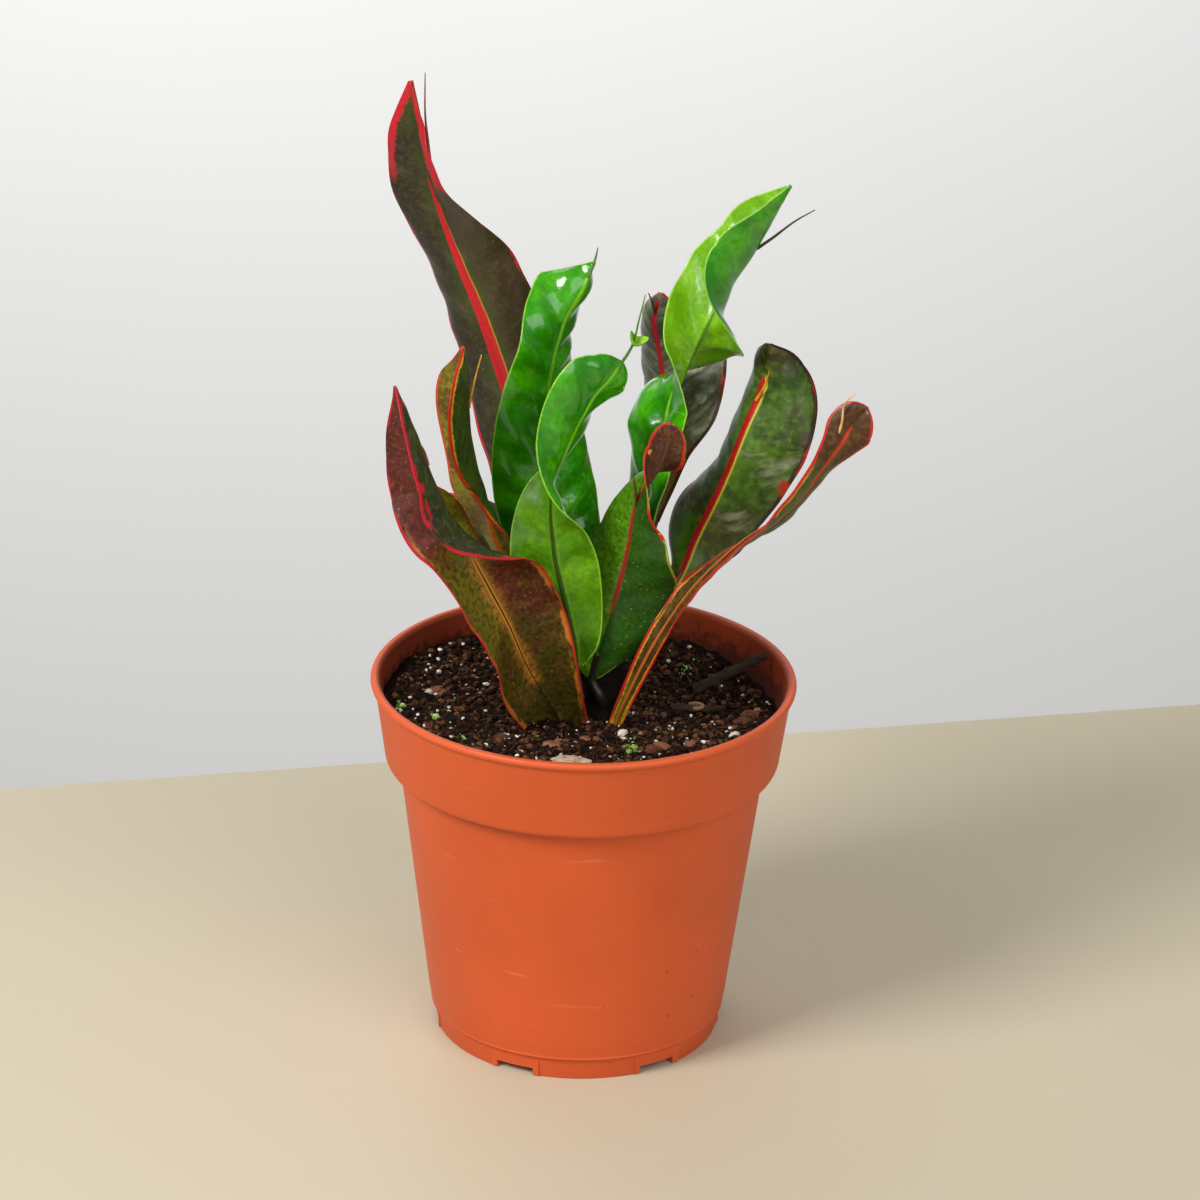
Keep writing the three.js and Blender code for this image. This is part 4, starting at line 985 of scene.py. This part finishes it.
class CROTON_OT_litter(bpy.types.Operator):
    """Strews crumbs, white grit, fibres, moss and bark bits over the soil"""
    bl_idname = "croton.litter"
    bl_label = "Crumbs and grit"

    def execute(self, context):
        settings = context.scene.croton_soil
        draw = random.Random(SEED)
        small, round_seed = seed_lump(1), seed_lump(2)
        crumbs = soil_spots(draw, settings.crumbs, CRUMB_SIZES)
        scatter("soil_crumbs", small, crumbs, "soil_crumb")
        grains = soil_spots(draw, settings.grit, GRIT_SIZES, 0.2) + on_soil(GRIT_PLACES)
        scatter("white_grit", round_seed, grains, "white_grit")
        tufts = [(x + draw.gauss(0, size * 0.6), y + draw.gauss(0, size * 0.6), size * draw.uniform(0.25, 0.5))
                 for x, y, size in MOSS_PLACES for _ in range(MOSS_TUFTS)]
        scatter("moss_tufts", small, on_soil(tufts, 0.9), "moss")
        scatter("bark_bits", round_seed, on_soil(BARK_PLACES, 0.5), "bark_bits")
        strands = Shape()
        for _ in range(settings.fibres):
            radius, turn = FIBRE_REACH * sqrt(draw.random()), draw.uniform(0, 2 * pi)
            heading, length = draw.uniform(0, 2 * pi), draw.uniform(2.5, 9)
            path = []
            for step in range(4):
                heading += draw.uniform(-0.7, 0.7)
                x = radius * cos(turn) + cos(heading) * length * step / 3
                y = radius * sin(turn) + sin(heading) * length * step / 3
                shrink = min(1, LITTER_REACH / hypot(x, y))
                x, y = x * shrink, y * shrink
                path.append((x, y, crumbly_level(x, y) + draw.uniform(0.1, 0.9)))
            strands.add(*rod(path, FIBRE_RADII, 4, 6))
        strands.hand_over("plant_fibres", "bark", [grainy_finish("plant_fibre")])
        coil = Shape()
        turns = [(COIL["x"] + (0.5 + k * 0.16) * cos(k * 0.8), COIL["y"] + (0.5 + k * 0.12) * sin(k * 0.8),
                  soil_level(COIL["x"], COIL["y"]) + 1.5 + 0.05 * k) for k in range(12)]
        coil.add(*rod(turns, COIL_RADII, 8, 44))
        coil.hand_over("dry_curl", "bark", [grainy_finish("dry_curl")])
        return {"FINISHED"}


class CROTON_OT_stem(bpy.types.Operator):
    """Builds the short woody stem with its ridged bark"""
    bl_idname = "croton.stem"
    bl_label = "Stem"

    def execute(self, context):
        def swell(turn, distance):
            ridges = 0.05 * noise.noise(Vector((cos(turn) * 3, sin(turn) * 3, distance * 0.12)))
            ring = 0.05 * exp(-((distance % 9 - 4.5) / 0.8) ** 2)
            return 1 + ridges + ring + 0.03 * noise.noise(Vector((turn * 2, 5, distance * 0.9)))

        shape = Shape()
        shape.add(*rod(STEM, STEM_RADII, 40, 90, swell))
        # The stem's bark finish is near black: painted shade, as the stem stands in deep shadow among the leaves.
        shape.hand_over("stem_bark_in_shade", "bark", [grainy_finish("stem_bark_in_shade")], ["stem"])
        return {"FINISHED"}


class CROTON_OT_leaves(bpy.types.Operator):
    """Builds the twelve ribbon leaves with their stalks and bare midrib threads"""
    bl_idname = "croton.leaves"
    bl_label = "Leaves"

    def execute(self, context):
        settings = context.scene.croton_leaf
        slots = {part["node"]: part["material_slot"] for part in frame["record"]["subparts"]}
        for count, (name, leaf) in enumerate(LEAVES.items()):
            [(upper, under, stalk, thread, gap, swell)] = entries(leaf["faces"])
            shape = Shape()
            shape.add(*blade(leaf, gap, swell, settings))
            if "stalk" in leaf:
                path = entries(leaf["stalk"]) + [rib[:3] for rib in entries(leaf["ribs"])[:2]]
                shape.add(*rod(path, STALK_RADII, 14, 30), 2)
            if "thread" in leaf:
                shape.add(*rod(entries(leaf["thread"]), THREAD_RADII, 10, 36), 3)
            finishes = [leaf_finish(name + "_upper", LOOKS[upper], LEAF_STEP * count, settings.gloss),
                        leaf_finish(name + "_under", LOOKS[under], LEAF_STEP * count + FACE_STEP, settings.gloss),
                        stalk_finish(name + "_stalk", stalk), stalk_finish(name + "_thread", thread)]
            shape.hand_over(name + "_blade", slots[name], finishes, [name])
        self.cup()
        return {"FINISHED"}

    def cup(self):
        """The small wavy cup that grows on the bare midrib of the twisted leaf."""
        height, sides = CUP["height"], CUP["sides"]
        points = []
        across, lengthwise = (radians(angle) for angle in CUP["tilt"])
        tilt = Matrix.Rotation(across, 3, "X") @ Matrix.Rotation(lengthwise, 3, "Y")
        for r, z in rounded(CUP_OUTLINE, 0.3):
            for k in range(sides):
                turn = 2 * pi * k / sides
                lobe = cos(2 * turn)
                wave = 1 + 0.2 * lobe * z / height
                spot = Vector((r * wave * cos(turn), r * wave * sin(turn), z + 0.9 * lobe * z / height))
                points.append(Vector(CUP["at"]) + tilt @ spot)
        faces = tube(len(points) // sides, sides)
        shape = Shape()
        shape.add(points, faces, leaf=[(0.5, 12 * i / len(points), 6) for i in range(len(points))])
        green = leaf_finish("leaf_cup", LOOKS["lime_under"], 3, 0)
        shape.hand_over("leaf_cup", "leaf_green", [green])


class CROTON_OT_twigs(bpy.types.Operator):
    """Builds the two dead twigs at the right of the soil"""
    bl_idname = "croton.twigs"
    bl_label = "Twigs"

    def execute(self, context):
        bark = grainy_finish("twig_bark")
        for name, (path, radii) in TWIGS.items():
            def swell(turn, distance):
                knot = 0.22 * exp(-((distance % 7 - 3) / 0.9) ** 2)
                spot = Vector((cos(turn), sin(turn), distance * 0.45 + len(name)))
                return 0.9 + knot + 0.34 * noise.noise(spot)

            shape = Shape()
            shape.add(*rod(path, radii, 18, 60, swell))
            shape.hand_over(name + "_bark", "bark", [bark], [name])
        return {"FINISHED"}


class CROTON_OT_chip(bpy.types.Operator):
    """Builds the pale chip of bark at the front of the soil"""
    bl_idname = "croton.chip"
    bl_label = "Bark chip"

    def execute(self, context):
        deselect()
        x, y = CHIP["x"], CHIP["y"]
        bpy.ops.mesh.primitive_ico_sphere_add(
            subdivisions=5, radius=0.5 * MM,
            location=place(x, y, soil_level(x, y) + CHIP["size"][2] / 2 + CHIP["lift"] - 0.7), scale=CHIP["size"])
        chip = settle()
        centre = sum((v.co for v in chip.data.vertices), Vector()) / len(chip.data.vertices)
        for vertex in chip.data.vertices:
            out = vertex.co - centre
            spot = vertex.co / MM
            vertex.co = centre + out * (1 + 0.26 * noise.noise(spot * 0.35) + 0.12 * noise.noise(spot * 1.1))
        smooth(chip)
        hand_over(chip, "bark_chip_pale", [grainy_finish("pale_bark")], ["bark_chip"])
        return {"FINISHED"}


class CROTON_OT_stage(bpy.types.Operator):
    """Sets up the table, the wall, the soft lights and the camera"""
    bl_idname = "croton.stage"
    bl_label = "Stage"

    def execute(self, context):
        settings = context.scene.croton_stage
        scene = context.scene
        deselect()
        bpy.ops.mesh.primitive_plane_add(size=2, location=AXIS)
        table = bpy.context.object
        bpy.ops.object.mode_set(mode="EDIT")
        bpy.ops.transform.resize(value=(TABLE_SCALE, TABLE_SCALE, 1), center_override=AXIS)
        bpy.ops.mesh.select_all(action="SELECT")
        bpy.ops.mesh.bisect(plane_co=place(0, TABLE_EDGE["y"], 0), plane_no=(-TABLE_EDGE["slope"], 1, 0),
                            clear_outer=True)
        bpy.ops.object.mode_set(mode="OBJECT")
        settle().name = "table_top"
        table.data.materials.append(floor_finish("table_paint", settings.floor, 0.55))
        bpy.ops.mesh.primitive_plane_add(size=WALL_SIZE, location=(AXIS.x, AXIS.y + WALL_BEHIND, WALL_HEIGHT),
                                         rotation=(radians(90), 0, 0))
        wall = settle()
        wall.name = "wall"
        wall.data.materials.append(floor_finish("wall_paint", settings.wall, 0.9))
        for name, (spot, aim, size, share, tint) in LIGHTS.items():
            lamp = bpy.data.lights.new(name, "AREA")
            lamp.size, lamp.energy, lamp.color = size, settings.key * share, tint
            holder = bpy.data.objects.new(name, lamp)
            scene.collection.objects.link(holder)
            holder.location = AXIS + Vector(spot)
            holder.rotation_euler = (Vector(aim) - Vector(spot)).to_track_quat("-Z", "Y").to_euler()
        world = bpy.data.worlds.new("soft_room")
        world.use_nodes = True
        background = world.node_tree.nodes["Background"].inputs
        background["Color"].default_value = ROOM_COLOUR
        background["Strength"].default_value = ROOM_LIGHT
        scene.world = world
        scene.view_settings.view_transform = "Standard"
        self.camera(scene)
        return {"FINISHED"}

    def camera(self, scene):
        lens = bpy.data.cameras.new("camera")
        lens.lens, lens.sensor_width = CAMERA["lens"], 36
        lens.clip_start, lens.clip_end = 0.05, 20
        holder = bpy.data.objects.new("camera", lens)
        scene.collection.objects.link(holder)
        rise, roll = radians(CAMERA["elevation"]), radians(CAMERA["roll"])
        turn = Matrix.Rotation(pi / 2 - rise, 4, "X") @ Matrix.Rotation(roll, 4, "Z")
        back = turn.to_3x3() @ Vector((0, 0, CAMERA["distance"] * MM))
        holder.matrix_world = Matrix.Translation(place(*CAMERA["target"]) + back) @ turn
        scene.camera = holder


class CROTON_PT_panel(bpy.types.Panel):
    """Lists the plant's pieces and their sizes"""
    bl_idname = "CROTON_PT_panel"
    bl_label = "Potted croton"
    bl_space_type = "VIEW_3D"
    bl_region_type = "UI"
    bl_category = "Croton"

    def draw(self, context):
        for operator in OPERATORS:
            self.layout.operator(operator.bl_idname)
        for name, group in SETTINGS.items():
            box = self.layout.box()
            for setting in group.__annotations__:
                box.prop(getattr(context.scene, name), setting)


OPERATORS = (CROTON_OT_stage, CROTON_OT_pot, CROTON_OT_soil, CROTON_OT_litter, CROTON_OT_stem, CROTON_OT_leaves,
             CROTON_OT_twigs, CROTON_OT_chip)
SETTINGS = {"croton_pot": PotSettings, "croton_soil": SoilSettings, "croton_leaf": LeafSettings,
            "croton_stage": StageSettings}


def register():
    for item in (*SETTINGS.values(), *OPERATORS, CROTON_PT_panel):
        bpy.utils.register_class(item)
    for name, group in SETTINGS.items():
        setattr(bpy.types.Scene, name, PointerProperty(type=group))


def unregister():
    for name in SETTINGS:
        delattr(bpy.types.Scene, name)
    for item in reversed((*SETTINGS.values(), *OPERATORS, CROTON_PT_panel)):
        bpy.utils.unregister_class(item)


def main():
    register()
    bpy.ops.croton.stage()
    bpy.ops.croton.pot()
    bpy.ops.croton.soil()
    bpy.ops.croton.litter()
    bpy.ops.croton.stem()
    bpy.ops.croton.leaves()
    bpy.ops.croton.twigs()
    bpy.ops.croton.chip()


if __name__ == "__main__":
    main()
